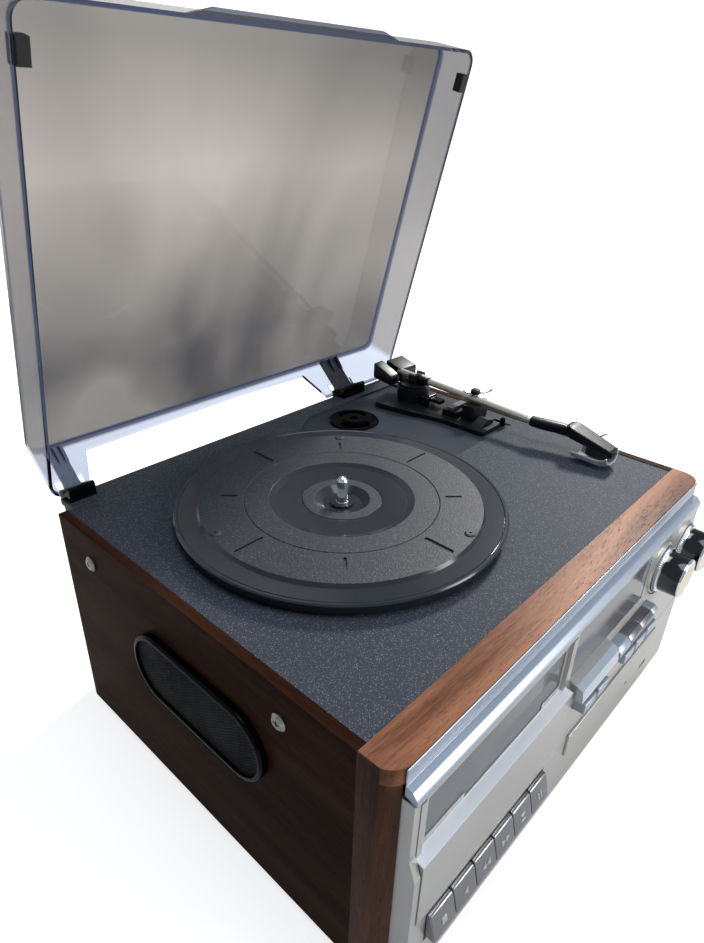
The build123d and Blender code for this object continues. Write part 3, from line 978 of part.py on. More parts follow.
# Control board behind the fascia, with the two rotary controls on it.
control = block(DISPLAY_X0 - 1, FASCIA_X - WALL, FASCIA_BACK + 0.5, FASCIA_BACK + 2.1, 84, FACE_TOP - WALL)
for x in KNOB_X:
    control += rod_y(x, KNOB_Z, 8, FACE_Y + FASCIA_T + 0.2, FASCIA_BACK + 8)
    control -= rod_y(x, KNOB_Z, SHAFT_R + RUN, FACE_Y, FACE_Y + 14.3)
control += block(-10, 60, FACE_Y + FASCIA_T + 4, FASCIA_BACK + 1, BAND_Z0 + 6, BAND_Z1 - 6)
control += block(MODE_X[0][0], MODE_X[3][1], FASCIA_BACK - 0.5, FASCIA_BACK + 1, MODE_Z0, MODE_Z1)
boards.append(control)
save("circuit_boards", *boards)

sockets = []
for x in SOCKET_X:
    socket = rod_y(x, SOCKET_Z, SOCKET_R, REAR_Y - 12, REAR_Y - 1)
    socket -= rod_y(x, SOCKET_Z, 4.1, REAR_Y - 10, REAR_Y)
    socket += rod_y(x, SOCKET_Z, 4.1, REAR_Y - 1.2, REAR_Y + 6)
    socket -= rod_y(x, SOCKET_Z, 1.7, REAR_Y - 8, REAR_Y + 7)
    sockets.append(socket)
inlet = block(INLET_X - INLET_W / 2, INLET_X + INLET_W / 2, REAR_Y - 14, REAR_Y - 1,
              SOCKET_Z - INLET_H / 2, SOCKET_Z + INLET_H / 2)
inlet -= block(INLET_X - 9, INLET_X + 9, REAR_Y - 12, REAR_Y, SOCKET_Z - 5, SOCKET_Z + 5)
for dx in (-4, 4):
    inlet += rod_y(INLET_X + dx, SOCKET_Z, 1.2, REAR_Y - 13, REAR_Y - 3)
sockets.append(inlet)
save("rear_sockets", *sockets)
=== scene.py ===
import math

import bmesh
import bpy
import numpy as np
from bpy.props import FloatProperty, FloatVectorProperty, IntProperty
from mathutils import Matrix


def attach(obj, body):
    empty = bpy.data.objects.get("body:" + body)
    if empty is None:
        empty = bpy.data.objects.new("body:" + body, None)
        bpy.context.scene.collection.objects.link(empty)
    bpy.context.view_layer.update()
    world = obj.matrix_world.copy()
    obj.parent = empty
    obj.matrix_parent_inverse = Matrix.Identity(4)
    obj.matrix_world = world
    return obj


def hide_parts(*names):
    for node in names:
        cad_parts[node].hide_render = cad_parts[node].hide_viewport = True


bl_info = {
    "name": "Stereo Music Centre",
    "version": (1, 0, 0),
    "blender": (4, 5, 0),
    "location": "View3D > Sidebar > Music Centre",
    "description": "Dresses a wooden music centre with record deck, cassette deck and disc drawer",
    "category": "Object",
}

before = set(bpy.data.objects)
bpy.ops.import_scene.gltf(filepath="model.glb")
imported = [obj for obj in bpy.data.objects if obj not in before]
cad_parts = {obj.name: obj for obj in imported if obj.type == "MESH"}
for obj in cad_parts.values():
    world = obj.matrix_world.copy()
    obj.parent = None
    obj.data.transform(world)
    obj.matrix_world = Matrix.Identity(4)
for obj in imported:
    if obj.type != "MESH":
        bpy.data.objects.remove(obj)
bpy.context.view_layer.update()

MM = 0.001
DECK_Z = 167.5  # top of the black deck, millimetres above the table
SPIN = (-44.0, 16.1)  # platter axis
PIVOT = (139.0, 101.5)  # arm turret axis
PIVOT_Z = DECK_Z + 21.5
TUBE_X = 143.0  # the arm's straight tube
ARM_TILT = 2.2  # degrees, nose down, at rest
CLIP = (144.0, 39.5)  # boss of the arm clip, x and y
HINGE = (159.7, 168.7)  # lid hinge, y and z
LID_OPEN = 76.0
SIDE_X = 177.5  # outer face of the side boards
GRILLE = (-2.0, 108.0, 118.0, 48.0)  # speaker grille: y, z, length and height
FRONT_LOW = -150.3  # front panel below the ledge
LEDGE_Z = 108.0  # ledge under the cassette window
KNOB_Y, KNOB_Z = -146.5, 125.0
KNOB_X = {"volume": 108.8, "tuning": 149.8}
BLACK_SHINE = 0.28  # specular level of moulded black parts
GLOSS_LEVEL = 0.35  # share of the white background that polished surfaces show


# ------------------------------------------------------------------ surfaces

def placed(name, mesh):
    """The mesh, shaded smooth, as an object of the scene."""
    mesh.polygons.foreach_set("use_smooth", np.ones(len(mesh.polygons), bool))
    mesh.update()
    obj = bpy.data.objects.new(name, mesh)
    bpy.context.scene.collection.objects.link(obj)
    return obj


def put_mesh(name, points, closed=True):
    """A sheet of quads over an array of points (rows u, columns v, xyz in millimetres), as an object.
    Point (i, j) joins (i+1, j), (i+1, j+1) and (i, j+1); the rows wrap round where closed. Doubles are
    merged and the faces turned outwards."""
    nu, nv = points.shape[:2]
    a, b = np.meshgrid(np.arange(nu if closed else nu - 1), np.arange(nv - 1), indexing="ij")
    a2, b2 = (a + 1) % nu, b + 1
    quads = np.stack([a * nv + b, a2 * nv + b, a2 * nv + b2, a * nv + b2], -1).reshape(-1, 4)
    mesh = bpy.data.meshes.new(name)
    mesh.from_pydata((points.reshape(-1, 3) * MM).tolist(), [], quads.tolist())
    bm = bmesh.new()
    bm.from_mesh(mesh)
    bmesh.ops.remove_doubles(bm, verts=bm.verts, dist=2e-6)
    bmesh.ops.dissolve_degenerate(bm, dist=1e-6, edges=bm.edges)
    bmesh.ops.recalc_face_normals(bm, faces=bm.faces)
    bm.to_mesh(mesh)
    bm.free()
    return placed(name, mesh)


def joined(name, objects):
    """Several fresh objects made one."""
    bm = bmesh.new()
    for o in objects:
        bm.from_mesh(o.data)
    mesh = bpy.data.meshes.new(name)
    bm.to_mesh(mesh)
    bm.free()
    for o in objects:
        old = o.data
        bpy.data.objects.remove(o)
        bpy.data.meshes.remove(old)
    return placed(name, mesh)


def mirrored_x(points):
    """The same points with X turned about the middle plane."""
    return points * np.array([-1.0, 1.0, 1.0])


def turned(profile, centre, axis="z", steps=96, ribs=None):
    """Profile points (radius r, height h) carried round z, x = r cos t, y = r sin t, z = h, or round y,
    x = r cos t, y = -h, z = r sin t.
    ribs = (first, last, count, depth) lowers the radius of those profile rows by
    depth (1 - cos(count t)) / 2."""
    p = np.asarray(profile, float)
    t = np.linspace(0, 2 * np.pi, steps, endpoint=False)[:, None]
    r = np.repeat(p[None, :, 0], steps, 0)
    if ribs:
        first, last, count, depth = ribs
        r[:, first:last] += depth * (np.cos(count * t) - 1) / 2
    h = np.repeat(p[None, :, 1], steps, 0)
    a, b = r * np.cos(t), r * np.sin(t)
    cx, cy, cz = centre
    if axis == "y":
        return np.stack([cx + a, cy - h, cz + b], -1)
    return np.stack([cx + a, cy + b, cz + h], -1)


def soft_profile(points, radius, steps=5):
    """An open run of (r, h) points with each inner corner rounded by a quadratic curve that starts and
    ends radius away from the corner: q = (1-s)^2 a + 2 s (1-s) corner + s^2 b."""
    p = np.asarray(points, float)
    before, corner, after = p[:-2], p[1:-1], p[2:]
    back, ahead = before - corner, after - corner
    lb = np.linalg.norm(back, axis=1, keepdims=True)
    la = np.linalg.norm(ahead, axis=1, keepdims=True)
    cut_b = np.minimum(radius, lb * 0.48) / np.maximum(lb, 1e-9)
    cut_a = np.minimum(radius, la * 0.48) / np.maximum(la, 1e-9)
    a, b = corner + back * cut_b, corner + ahead * cut_a
    s = np.linspace(0, 1, steps)[None, :, None]
    bend = (1 - s) ** 2 * a[:, None] + 2 * s * (1 - s) * corner[:, None] + s ** 2 * b[:, None]
    return np.concatenate([p[:1], bend.reshape(-1, 2), p[-1:]])


def soft_loop(points, radius, steps=5):
    """A closed outline of (a, b) points with every corner rounded as in soft_profile."""
    p = np.asarray(points, float)
    wrapped = np.concatenate([p[-1:], p, p[:1]])
    return soft_profile(wrapped, radius, steps)[1:-1]


def pillow(outline, low, high, edge, plane="yz", steps=4, spine=None):
    """A closed outline carried between low and high, its two rims rounded by a quarter circle of radius edge:
    the outline shrinks towards its middle by edge (1 - sin t) while the height moves by edge (1 - cos t).
    The ends close on the middle, or straight across onto the line a = spine for an outline with hollows."""
    o = np.asarray(outline, float)
    middle = (o.max(0) + o.min(0)) / 2
    half = np.maximum((o.max(0) - o.min(0)) / 2, 1e-6)
    t = np.linspace(0, np.pi / 2, steps)
    inset = edge * (1 - np.sin(t))
    rise = edge * (1 - np.cos(t))
    inset = np.concatenate([[half.max()], inset, inset[::-1], [half.max()]])
    level = np.concatenate([[low], low + rise, high - rise[::-1], [high]])
    scale = np.clip(1 - inset[:, None] / half[None], 0, 1)
    a = middle + (o[:, None] - middle) * scale[None]
    if spine is not None:
        for end in (0, -1):
            a[:, end, 0] = spine
            a[:, end, 1] = o[:, 1]
    h = np.repeat(level[None], len(o), 0)
    if plane == "xz":
        return np.stack([a[..., 0], h, a[..., 1]], -1)
    return np.stack([h, a[..., 0], a[..., 1]], -1)


def loft(sections):
    """A run of closed sections (sections, points, xyz) as one skin, its two ends drawn to their middles."""
    first, last = (np.repeat(end.mean(1, keepdims=True), sections.shape[1], 1)
                   for end in (sections[:1], sections[-1:]))
    return np.concatenate([first, sections, last]).transpose(1, 0, 2)


def oval(steps, power):
    """A unit superellipse: |x|^p + |y|^p = 1, from x = sign(cos) |cos|^(2/p) and the same for y."""
    t = np.linspace(0, 2 * np.pi, steps, endpoint=False)
    c, s = np.cos(t), np.sin(t)
    return np.sign(c) * np.abs(c) ** (2 / power), np.sign(s) * np.abs(s) ** (2 / power)


def bar_along_y(ys, xs, zs, widths, heights, power=2.0, steps=32):
    """A bar whose upright superellipse section follows y: centre (x, z), width and height per station, each
    a number or one value per y."""
    a, b = oval(steps, power)
    ys, xs, zs, w, h = (v[:, None] for v in np.broadcast_arrays(ys, xs, zs, widths, heights))
    return loft(np.stack([xs + a * w / 2, ys + 0 * a, zs + b * h / 2], -1))


def tube_in_plane(path, radius, normal, steps=16):
    """A round tube along a flat path: centre + r (cos t side + sin t normal), side being tangent x normal."""
    p = np.asarray(path, float)
    n = np.asarray(normal, float)
    tangent = np.gradient(p, axis=0)
    tangent /= np.linalg.norm(tangent, axis=1, keepdims=True)
    side = np.cross(tangent, n)
    t = np.linspace(0, 2 * np.pi, steps, endpoint=False)
    r = np.broadcast_to(np.asarray(radius, float), (len(p),))[:, None, None]
    rings = p[:, None] + r * (np.cos(t)[None, :, None] * side[:, None] + np.sin(t)[None, :, None] * n)
    return loft(rings)


def laid(points):
    """Arm points drawn level, turned nose down about the lift axis by the arm's rest angle."""
    a = math.radians(ARM_TILT)
    y, z = points[..., 1] - PIVOT[1], points[..., 2] - PIVOT_Z
    out = points.copy()
    out[..., 1] = PIVOT[1] + y * math.cos(a) - z * math.sin(a)
    out[..., 2] = PIVOT_Z + y * math.sin(a) + z * math.cos(a)
    return out


# ------------------------------------------------------------------ finishes

def group(name, inputs, outputs):
    """An empty shader node group with named sockets; returns the group and its two end nodes."""
    g = bpy.data.node_groups.new(name, "ShaderNodeTree")
    kinds = {"v": "NodeSocketVector", "f": "NodeSocketFloat", "c": "NodeSocketColor"}
    for label, kind, default in inputs:
        s = g.interface.new_socket(label, in_out="INPUT", socket_type=kinds[kind])
        if default is not None:
            s.default_value = default
    for label, kind in outputs:
        g.interface.new_socket(label, in_out="OUTPUT", socket_type=kinds[kind])
    return g, g.nodes.new("NodeGroupInput"), g.nodes.new("NodeGroupOutput")


def fill(tree, n, **values):
    """Fill a node's inputs by name, with _ for a space: a socket is linked, anything else is set."""
    for key, value in values.items():
        port = n.inputs[key.replace("_", " ")]
        if isinstance(value, bpy.types.NodeSocket):
            tree.links.new(value, port)
        else:
            port.default_value = value
    return n


def node(tree, kind, **settings):
    """A node of a kind with its settings; a key that is not a setting fills the input of that name."""
    n = tree.nodes.new(kind)
    for key in [k for k in settings if hasattr(n, k)]:
        setattr(n, key, settings.pop(key))
    return fill(tree, n, **settings)


def sums(tree, operation, a, b=0.0, clamp=False):
    """A Math node fed by sockets or numbers."""
    n = node(tree, "ShaderNodeMath", operation=operation, use_clamp=clamp)
    for i, v in enumerate((a, b)):
        if isinstance(v, (int, float)):
            n.inputs[i].default_value = v
        else:
            tree.links.new(v, n.inputs[i])
    return n.outputs[0]


def times(tree, a, b):
    """a times b."""
    return sums(tree, "MULTIPLY", a, b)


def plus(tree, a, b, clamp=False):
    """a plus b, held between 0 and 1 where clamp is set."""
    return sums(tree, "ADD", a, b, clamp)


def less(tree, a, b):
    """a minus b."""
    return sums(tree, "SUBTRACT", a, b)


def most(tree, a, b):
    """The larger of a and b."""
    return sums(tree, "MAXIMUM", a, b)


def blend_colours(tree, factor, a, b):
    """A colour Mix node; each of factor, a and b is a socket or a value."""
    n = node(tree, "ShaderNodeMix", data_type="RGBA")
    for i, v in ((0, factor), (6, a), (7, b)):
        if isinstance(v, bpy.types.NodeSocket):
            tree.links.new(v, n.inputs[i])
        else:
            n.inputs[i].default_value = v if i == 0 else (*v[:3], 1.0)
    return n.outputs[2]


def ranged(tree, value, a, b, c=0.0, d=1.0):
    """value taken from the span a..b to the span c..d, clamped."""
    n = node(tree, "ShaderNodeMapRange")
    tree.links.new(value, n.inputs[0])
    for i, v in enumerate((a, b, c, d)):
        n.inputs[i + 1].default_value = v
    return n.outputs[0]


def make_walnut_group():
    """Figure of the veneer, its grain along the vector's first axis: broad bands and fine fibres of stretched
    noise bent by a slow warp, and short dark pores where a still finer noise passes a threshold."""
    g, i, o = group("WalnutFigure", [("Vector", "v", None), ("Dark", "c", (0.03, 0.015, 0.01, 1)),
                                     ("Light", "c", (0.2, 0.09, 0.05, 1))],
                    [("Color", "c"), ("Roughness", "f"), ("Height", "f")])
    wide = mapped(g, i.outputs["Vector"], scale=(0.35, 1, 1))
    warp = node(g, "ShaderNodeTexNoise", Scale=9.0, Detail=2.0, Vector=wide)
    bend = node(g, "ShaderNodeVectorMath", operation="SCALE", Scale=0.035)
    g.links.new(warp.outputs["Color"], bend.inputs[0])
    moved = node(g, "ShaderNodeVectorMath", operation="ADD")
    g.links.new(i.outputs["Vector"], moved.inputs[0])
    g.links.new(bend.outputs[0], moved.inputs[1])
    along = mapped(g, moved.outputs[0], scale=(0.07, 1, 1))
    broad = node(g, "ShaderNodeTexNoise", Scale=48.0, Detail=3.0, Vector=along)
    fibre = node(g, "ShaderNodeTexNoise", Scale=700.0, Detail=3.0, Roughness=0.75, Vector=along)
    pore = node(g, "ShaderNodeTexNoise", Scale=2300.0, Detail=2.0, Vector=along)
    mixed = plus(g, times(g, ranged(g, broad.outputs[0], 0.36, 0.62), 0.66),
                 times(g, ranged(g, fibre.outputs[0], 0.3, 0.7), 0.34))
    pores = ranged(g, pore.outputs[0], 0.60, 0.70)
    tone = blend_colours(g, mixed, i.outputs["Dark"], i.outputs["Light"])
    deep = blend_colours(g, times(g, pores, 0.5), tone, (0.02, 0.008, 0.005))
    fill(g, o, Color=deep, Roughness=ranged(g, pores, 0.0, 1.0, 0.34, 0.6), Height=less(g, 1.0, pores))
    return g


def make_grain_group():
    """Moulded grain: a cell pattern for the pits, noise over it, and a soft bright fleck in the cells with a
    high random value."""
    g, i, o = group("MouldedGrain", [("Vector", "v", None), ("Scale", "f", 900.0), ("Fleck", "f", 0.0)],
                    [("Height", "f"), ("Fleck", "f"), ("Cloud", "f")])
    at, scale = i.outputs["Vector"], i.outputs["Scale"]
    cells = node(g, "ShaderNodeTexVoronoi", feature="F1", Vector=at, Scale=scale)
    fine = node(g, "ShaderNodeTexNoise", Detail=2.0, Vector=at, Scale=times(g, scale, 1.7))
    cloud = node(g, "ShaderNodeTexNoise", Scale=14.0, Detail=3.0, Vector=at)
    pits = times(g, cells.outputs["Distance"], 0.7)
    mixed = plus(g, pits, times(g, fine.outputs[0], 0.6))
    fill(g, o, Height=mixed)
    chosen = ranged(g, part_of(g, cells.outputs["Color"], "X"), 0.35, 0.90)
    spark = times(g, ranged(g, cells.outputs["Distance"], 0.12, 0.42, 1.0, 0.0), chosen)
    fill(g, o, Fleck=times(g, spark, i.outputs["Fleck"]), Cloud=cloud.outputs[0])
    return g


def make_handled_group():
    """Faint smears and dust: low soft noise times a finer one, as a small change of roughness."""
    g, i, o = group("HandledSurface", [("Vector", "v", None), ("Base", "f", 0.3), ("Amount", "f", 0.1)],
                    [("Roughness", "f"), ("Mask", "f")])
    at = i.outputs["Vector"]
    low = node(g, "ShaderNodeTexNoise", Scale=22.0, Detail=4.0, Distortion=0.8, Vector=at)
    high = node(g, "ShaderNodeTexNoise", Scale=260.0, Detail=2.0, Vector=at)
    mask = ranged(g, times(g, low.outputs[0], plus(g, high.outputs[0], 0.5)), 0.35, 0.75)
    fill(g, o, Mask=mask)
    change = times(g, mask, i.outputs["Amount"])
    fill(g, o, Roughness=plus(g, i.outputs["Base"], change))
    return g


GROUPS = {}


def placed_group(tree, name, vector, **values):
    """One of the shared effects put into a material with its own values."""
    makers = {"WalnutFigure": make_walnut_group, "MouldedGrain": make_grain_group,
              "HandledSurface": make_handled_group}
    if name not in GROUPS:
        GROUPS[name] = makers[name]()
    n = tree.nodes.new("ShaderNodeGroup")
    n.node_tree = GROUPS[name]
    return fill(tree, n, Vector=vector, **values)


def shaded(colour, factor):
    """The colour times a factor, no channel above 1."""
    return tuple(min(1.0, c * factor) for c in colour)


def fresh(name, metallic=0.0, roughness=0.5, colour=(0.5, 0.5, 0.5), ior=1.5, specular=0.5):
    """A material with its Principled shader, and the object's own coordinates in metres."""
    m = bpy.data.materials.new(name)
    m.use_nodes = True
    t = m.node_tree
    b = t.nodes["Principled BSDF"]
    fill(t, b, Base_Color=(*colour, 1), Metallic=metallic, Roughness=roughness, IOR=ior,
         Specular_IOR_Level=specular)
    m.diffuse_color = (*colour, 1)
    where = t.nodes.new("ShaderNodeTexCoord").outputs["Object"]
    return m, t, b, where


def mapped(tree, vector, location=(0, 0, 0), rotation=(0, 0, 0), scale=(1, 1, 1)):
    """The vector through a Mapping node."""
    return node(tree, "ShaderNodeMapping", Location=location, Rotation=rotation, Scale=scale,
                Vector=vector).outputs[0]


def bumped(tree, bsdf, height, strength, distance):
    """Height as a small relief in metres on the shader's normal."""
    n = node(tree, "ShaderNodeBump", Strength=strength, Distance=distance, Height=height)
    fill(tree, bsdf, Normal=n.outputs[0])


def between(tree, value, rise, full, fade, gone):
    """A mask of value: 0 up to rise, 1 from full to fade, 0 from gone on."""
    return times(tree, ranged(tree, value, rise, full), ranged(tree, value, fade, gone, 1.0, 0.0))


def handled(tree, bsdf, where, base, amount):
    """Faint smears on the shader's roughness; returns their mask."""
    n = placed_group(tree, "HandledSurface", where, Base=base, Amount=amount)
    fill(tree, bsdf, Roughness=n.outputs["Roughness"])
    return n.outputs["Mask"]


def part_of(tree, vector, axis):
    """One coordinate of a vector."""
    n = node(tree, "ShaderNodeSeparateXYZ")
    tree.links.new(vector, n.inputs[0])
    return n.outputs["XYZ".index(axis)]


def walnut(name, dark, light, grain_axis, specular, upright_above=None):
    """Veneer with its grain along one axis. Where upright_above is given, the grain stands upright and the
    tone is darkened by painted shade below that height and on the outer sides."""
    m, t, b, where = fresh(name, roughness=0.4, specular=specular)
    turns = {"X": (0, 0, 0), "Y": (0, 0, math.pi / 2), "Z": (0, math.pi / 2, 0)}
    vector = mapped(t, where, rotation=turns[grain_axis])
    if upright_above is not None:
        upright = mapped(t, where, location=(0.3, 0, 0), rotation=turns["Z"])
        z = part_of(t, where, "Z")
        low = ranged(t, z, (upright_above - 0.05) * MM, (upright_above + 0.05) * MM, 1.0, 0.0)
        side = ranged(t, sums(t, "ABSOLUTE", part_of(t, where, "X")), 0.17675, 0.17685)
        pick = node(t, "ShaderNodeMix", data_type="VECTOR")
        t.links.new(most(t, low, side), pick.inputs[0])
        t.links.new(vector, pick.inputs[4])
        t.links.new(upright, pick.inputs[5])
        vector = pick.outputs[1]
    g = placed_group(t, "WalnutFigure", vector, Dark=(*dark, 1), Light=(*light, 1))
    tone = g.outputs["Color"]
    if upright_above is not None:
        # painted shade: below upright_above and on the outer sides the figure falls towards near black
        shade = times(t, most(t, low, side), 0.6)
        tone = blend_colours(t, shade, tone, (0.012, 0.005, 0.004))
    fill(t, b, Base_Color=tone, Roughness=g.outputs["Roughness"])
    bumped(t, b, g.outputs["Height"], 0.3, 0.00006)
    return m


def cloudy(tree, cloud, colour, share=0.5, shade=0.8):
    """A colour that falls towards its own darker shade where the cloud is dense."""
    dense = ranged(tree, cloud, 0.3, 0.7, 0.0, share)
    return blend_colours(tree, dense, colour, shaded(colour, shade))


def moulded(name, colour, roughness=0.45, scale=900.0, depth=0.00006, strength=0.4, metallic=0.0, smear=0.1,
            specular=0.5):
    """Moulded or painted plastic: fine grain in relief, a cloudy tone and faint smears."""
    m, t, b, where = fresh(name, metallic, roughness, colour, specular=specular)
    g = placed_group(t, "MouldedGrain", where, Scale=scale)
    handled(t, b, where, roughness, smear)
    fill(t, b, Base_Color=cloudy(t, g.outputs["Cloud"], colour))
    bumped(t, b, g.outputs["Height"], strength, depth)
    return m


def polished(name, colour, roughness=0.1, metallic=1.0, smear=0.12, specular=0.5):
    """Plated or polished metal, or gloss plastic: nearly smooth, with faint smears."""
    m, t, b, where = fresh(name, metallic, roughness, colour, specular=specular)
    smears = handled(t, b, where, roughness, smear)
    tone = blend_colours(t, smears, colour, shaded(colour, 0.86))
    fill(t, b, Base_Color=tone)
    return m


def deck_black():
    """Black deck: fine bright grain on top, smooth and bluish where the surface is sunk below it."""
    m, t, b, where = fresh("DeckBlack", 0.0, 0.42, (0.03, 0.034, 0.04), specular=0.07)
    g = placed_group(t, "MouldedGrain", where, Scale=1300.0, Fleck=1.0)
    sunk = ranged(t, part_of(t, where, "Z"), (DECK_Z - 0.5) * MM, (DECK_Z - 0.3) * MM, 1.0, 0.0)
    grained = blend_colours(t, g.outputs["Fleck"], (0.051, 0.059, 0.075), (0.31, 0.34, 0.40))
    smooth = blend_colours(t, g.outputs["Cloud"], (0.041, 0.049, 0.064), (0.052, 0.061, 0.079))
    fill(t, b, Base_Color=blend_colours(t, sunk, grained, smooth))
    fill(t, b, Roughness=ranged(t, sunk, 0, 1, 0.50, 0.32))
    bumped(t, b, times(t, g.outputs["Height"], less(t, 1.0, sunk)), 0.7, 0.00012)
    return m


def platter_black():
    """Platter: coarse grain on the raised mat and round the hub, smooth dish and lip between them."""
    m, t, b, where = fresh("PlatterBlack", 0.0, 0.4, (0.025, 0.028, 0.033))
    flat = mapped(t, where, location=(-SPIN[0] * MM, -SPIN[1] * MM, 0))
    flat = mapped(t, flat, scale=(1, 1, 0))
    r = node(t, "ShaderNodeVectorMath", operation="LENGTH")
    t.links.new(flat, r.inputs[0])
    radius = r.outputs["Value"]
    mat = between(t, radius, 0.0474, 0.0477, 0.0918, 0.0921)
    hub = between(t, radius, 0.0182, 0.0186, 0.0256, 0.0259)
    rough = plus(t, mat, hub, clamp=True)
    g = placed_group(t, "MouldedGrain", where, Scale=1000.0, Fleck=1.0)
    fleck = times(t, g.outputs["Fleck"], 0.5)
    grained = blend_colours(t, fleck, (0.018, 0.022, 0.031), (0.28, 0.32, 0.40))
    smooth = blend_colours(t, g.outputs["Cloud"], (0.018, 0.022, 0.030), (0.026, 0.031, 0.042))
    fill(t, b, Base_Color=blend_colours(t, rough, smooth, grained))
    fill(t, b, Roughness=ranged(t, rough, 0, 1, 0.16, 0.5))
    bumped(t, b, times(t, g.outputs["Height"], rough), 0.8, 0.00016)
    return m


def smoke_clear(name, core, rim, low, high):
    """Tinted clear plastic: thin look face on, denser where it is seen along its surface, and paler and bluer
    there by a painted sheen.
    """
    m, t, b, where = fresh(name, 0.0, 0.06, core, 1.49)
    facing = node(t, "ShaderNodeLayerWeight", Blend=0.35).outputs["Facing"]
    smears = handled(t, b, where, 0.05, 0.1)
    # painted sheen: the base colour moves to the paler rim colour as the surface turns away from view
    fill(t, b, Base_Color=blend_colours(t, ranged(t, facing, 0.25, 0.9), core, rim))
    dense = ranged(t, facing, 0.2, 1.0, low, high)
    dust = times(t, smears, 0.04)
    fill(t, b, Alpha=plus(t, dense, dust, clamp=True))
    return m


def lid_smoke(s):
    """The lid's tinted plastic, worked in the shut lid's own frame: the mapping turns it back about the
    hinge. The distance to a rounded rectangle, |q| outside and the larger side inside, finds the inner
    corner line. Much of the tone is painted light: a painted reflection cloud, painted shade on the lower
    part and near the front edge, painted highlights on the left of the face, the left end wall and the
    hinge wall, and painted shade along the inner corner line and the lower rim."""
    m, t, b, where = fresh("SmokeLid", 0.0, 0.03, tuple(s.lid_core), 1.30)
    fill(t, b, Transmission_Weight=1.0)
    a = math.radians(LID_OPEN)
    hy, hz = HINGE[0] * MM, HINGE[1] * MM
    back = (0, hy - (hy * math.cos(a) - hz * math.sin(a)), hz - (hy * math.sin(a) + hz * math.cos(a)))
    shut = mapped(t, where, location=back, rotation=(a, 0, 0))
    x, y, z = (part_of(t, shut, k) for k in "XYZ")
    half_x, half_y, middle_y, r = 0.1708, 0.1301, 0.01265, 0.0088  # the rounded rectangle
    qx = less(t, sums(t, "ABSOLUTE", x), half_x - r)
    qy = less(t, sums(t, "ABSOLUTE", less(t, y, middle_y)), half_y - r)
    ox, oy = most(t, qx, 0.0), most(t, qy, 0.0)
    outside = sums(t, "SQRT", plus(t, times(t, ox, ox), times(t, oy, oy)))
    inside = sums(t, "MINIMUM", most(t, qx, qy), 0.0)
    edge = less(t, plus(t, outside, inside), r)
    inner_top, lower_rim = 0.1965, 0.1704  # heights of the shut lid in metres
    top = ranged(t, z, inner_top - 0.0020, inner_top)
    line = times(t, top, ranged(t, sums(t, "ABSOLUTE", edge), 0.0008, 0.0020, 1.0, 0.0))
    rim = ranged(t, z, lower_rim - 0.0006, lower_rim, 1.0, 0.0)
    below = ranged(t, z, inner_top - 0.0005, inner_top + 0.0010, 1.0, 0.0)
    hinge_wall = times(t, ranged(t, y, 0.138, 0.144), below)
    upright = ranged(t, z, inner_top - 0.0010, inner_top + 0.0010, 1.0, 0.0)
    wall = most(t, ranged(t, edge, -0.0006, 0.0004), upright)
    squeezed = mapped(t, shut, scale=(1.0, 0.5, 1.0))
    cloud = node(t, "ShaderNodeTexNoise", Scale=6.0, Detail=3.0, Distortion=0.6, Vector=squeezed)
    # painted reflection: a soft cloud that darkens the face in patches and makes the darkening of the lower
    # part uneven
    painted_reflection_cloud = ranged(t, cloud.outputs[0], 0.36, 0.66)
    uneven = plus(t, times(t, painted_reflection_cloud, 0.5), 0.55)
    # painted shade: the part of the open lid nearer the hinge falls towards near black
    low = sums(t, "MULTIPLY", ranged(t, y, -0.03, 0.09), uneven, clamp=True)
    # painted shade: a band by the lid's front edge, the top of the open lid, darkened by up to half
    painted_shade_band = times(t, ranged(t, y, -0.105, -0.040, 1.0, 0.0), 0.50)
    low = most(t, low, painted_shade_band)
    # painted highlight: the face is lifted about a third brighter towards the lid's left end
    bright_core = shaded(s.lid_core, 1.35)
    bright_side = blend_colours(t, ranged(t, x, -0.16, 0.0), bright_core, tuple(s.lid_core))
    warm = blend_colours(t, times(t, painted_reflection_cloud, 0.5), bright_side, shaded(s.lid_core, 0.45))
    face = blend_colours(t, low, warm, tuple(c * k for c, k in zip(s.lid_core, (0.11, 0.125, 0.16))))
    # painted highlight: the wall at the lid's left end is lifted to 2.2 times the edge tint
    left_end = ranged(t, x, -0.172, -0.16, 1.0, 0.0)
    near_wall = blend_colours(t, left_end, tuple(s.lid_rim), shaded(s.lid_rim, 2.2))
    sides = blend_colours(t, wall, face, near_wall)
    # painted highlight: a pale blue band on the wall by the hinge
    bright = blend_colours(t, times(t, hinge_wall, 0.8), sides, (0.50, 0.56, 0.68))
    # painted shade: dark blue lines along the inner corner of the top and along the lower rim
    dark = most(t, line, times(t, rim, 0.9))
    fill(t, b, Base_Color=blend_colours(t, dark, bright, (0.02, 0.03, 0.07)))
    handled(t, b, where, 0.02, 0.08)
    return m


def hinge_finish():
    """Right hinge dark blue grey, left hinge the pale blue of the lid's own plastic; split by x."""
    m, t, b, where = fresh("HingePlastic", 0.0, 0.25, (0.03, 0.035, 0.045))
    left = ranged(t, part_of(t, where, "X"), -0.01, 0.01, 1.0, 0.0)
    g = placed_group(t, "MouldedGrain", where, Scale=1500.0)
    handled(t, b, where, 0.22, 0.15)
    tone = blend_colours(t, left, (0.030, 0.036, 0.048), (0.16, 0.20, 0.31))
    cloud = ranged(t, g.outputs["Cloud"], 0.3, 0.7, 0.0, 0.3)
    fill(t, b, Base_Color=blend_colours(t, cloud, tone, (0.02, 0.025, 0.03)))
    bumped(t, b, g.outputs["Height"], 0.15, 0.00003)
    return m


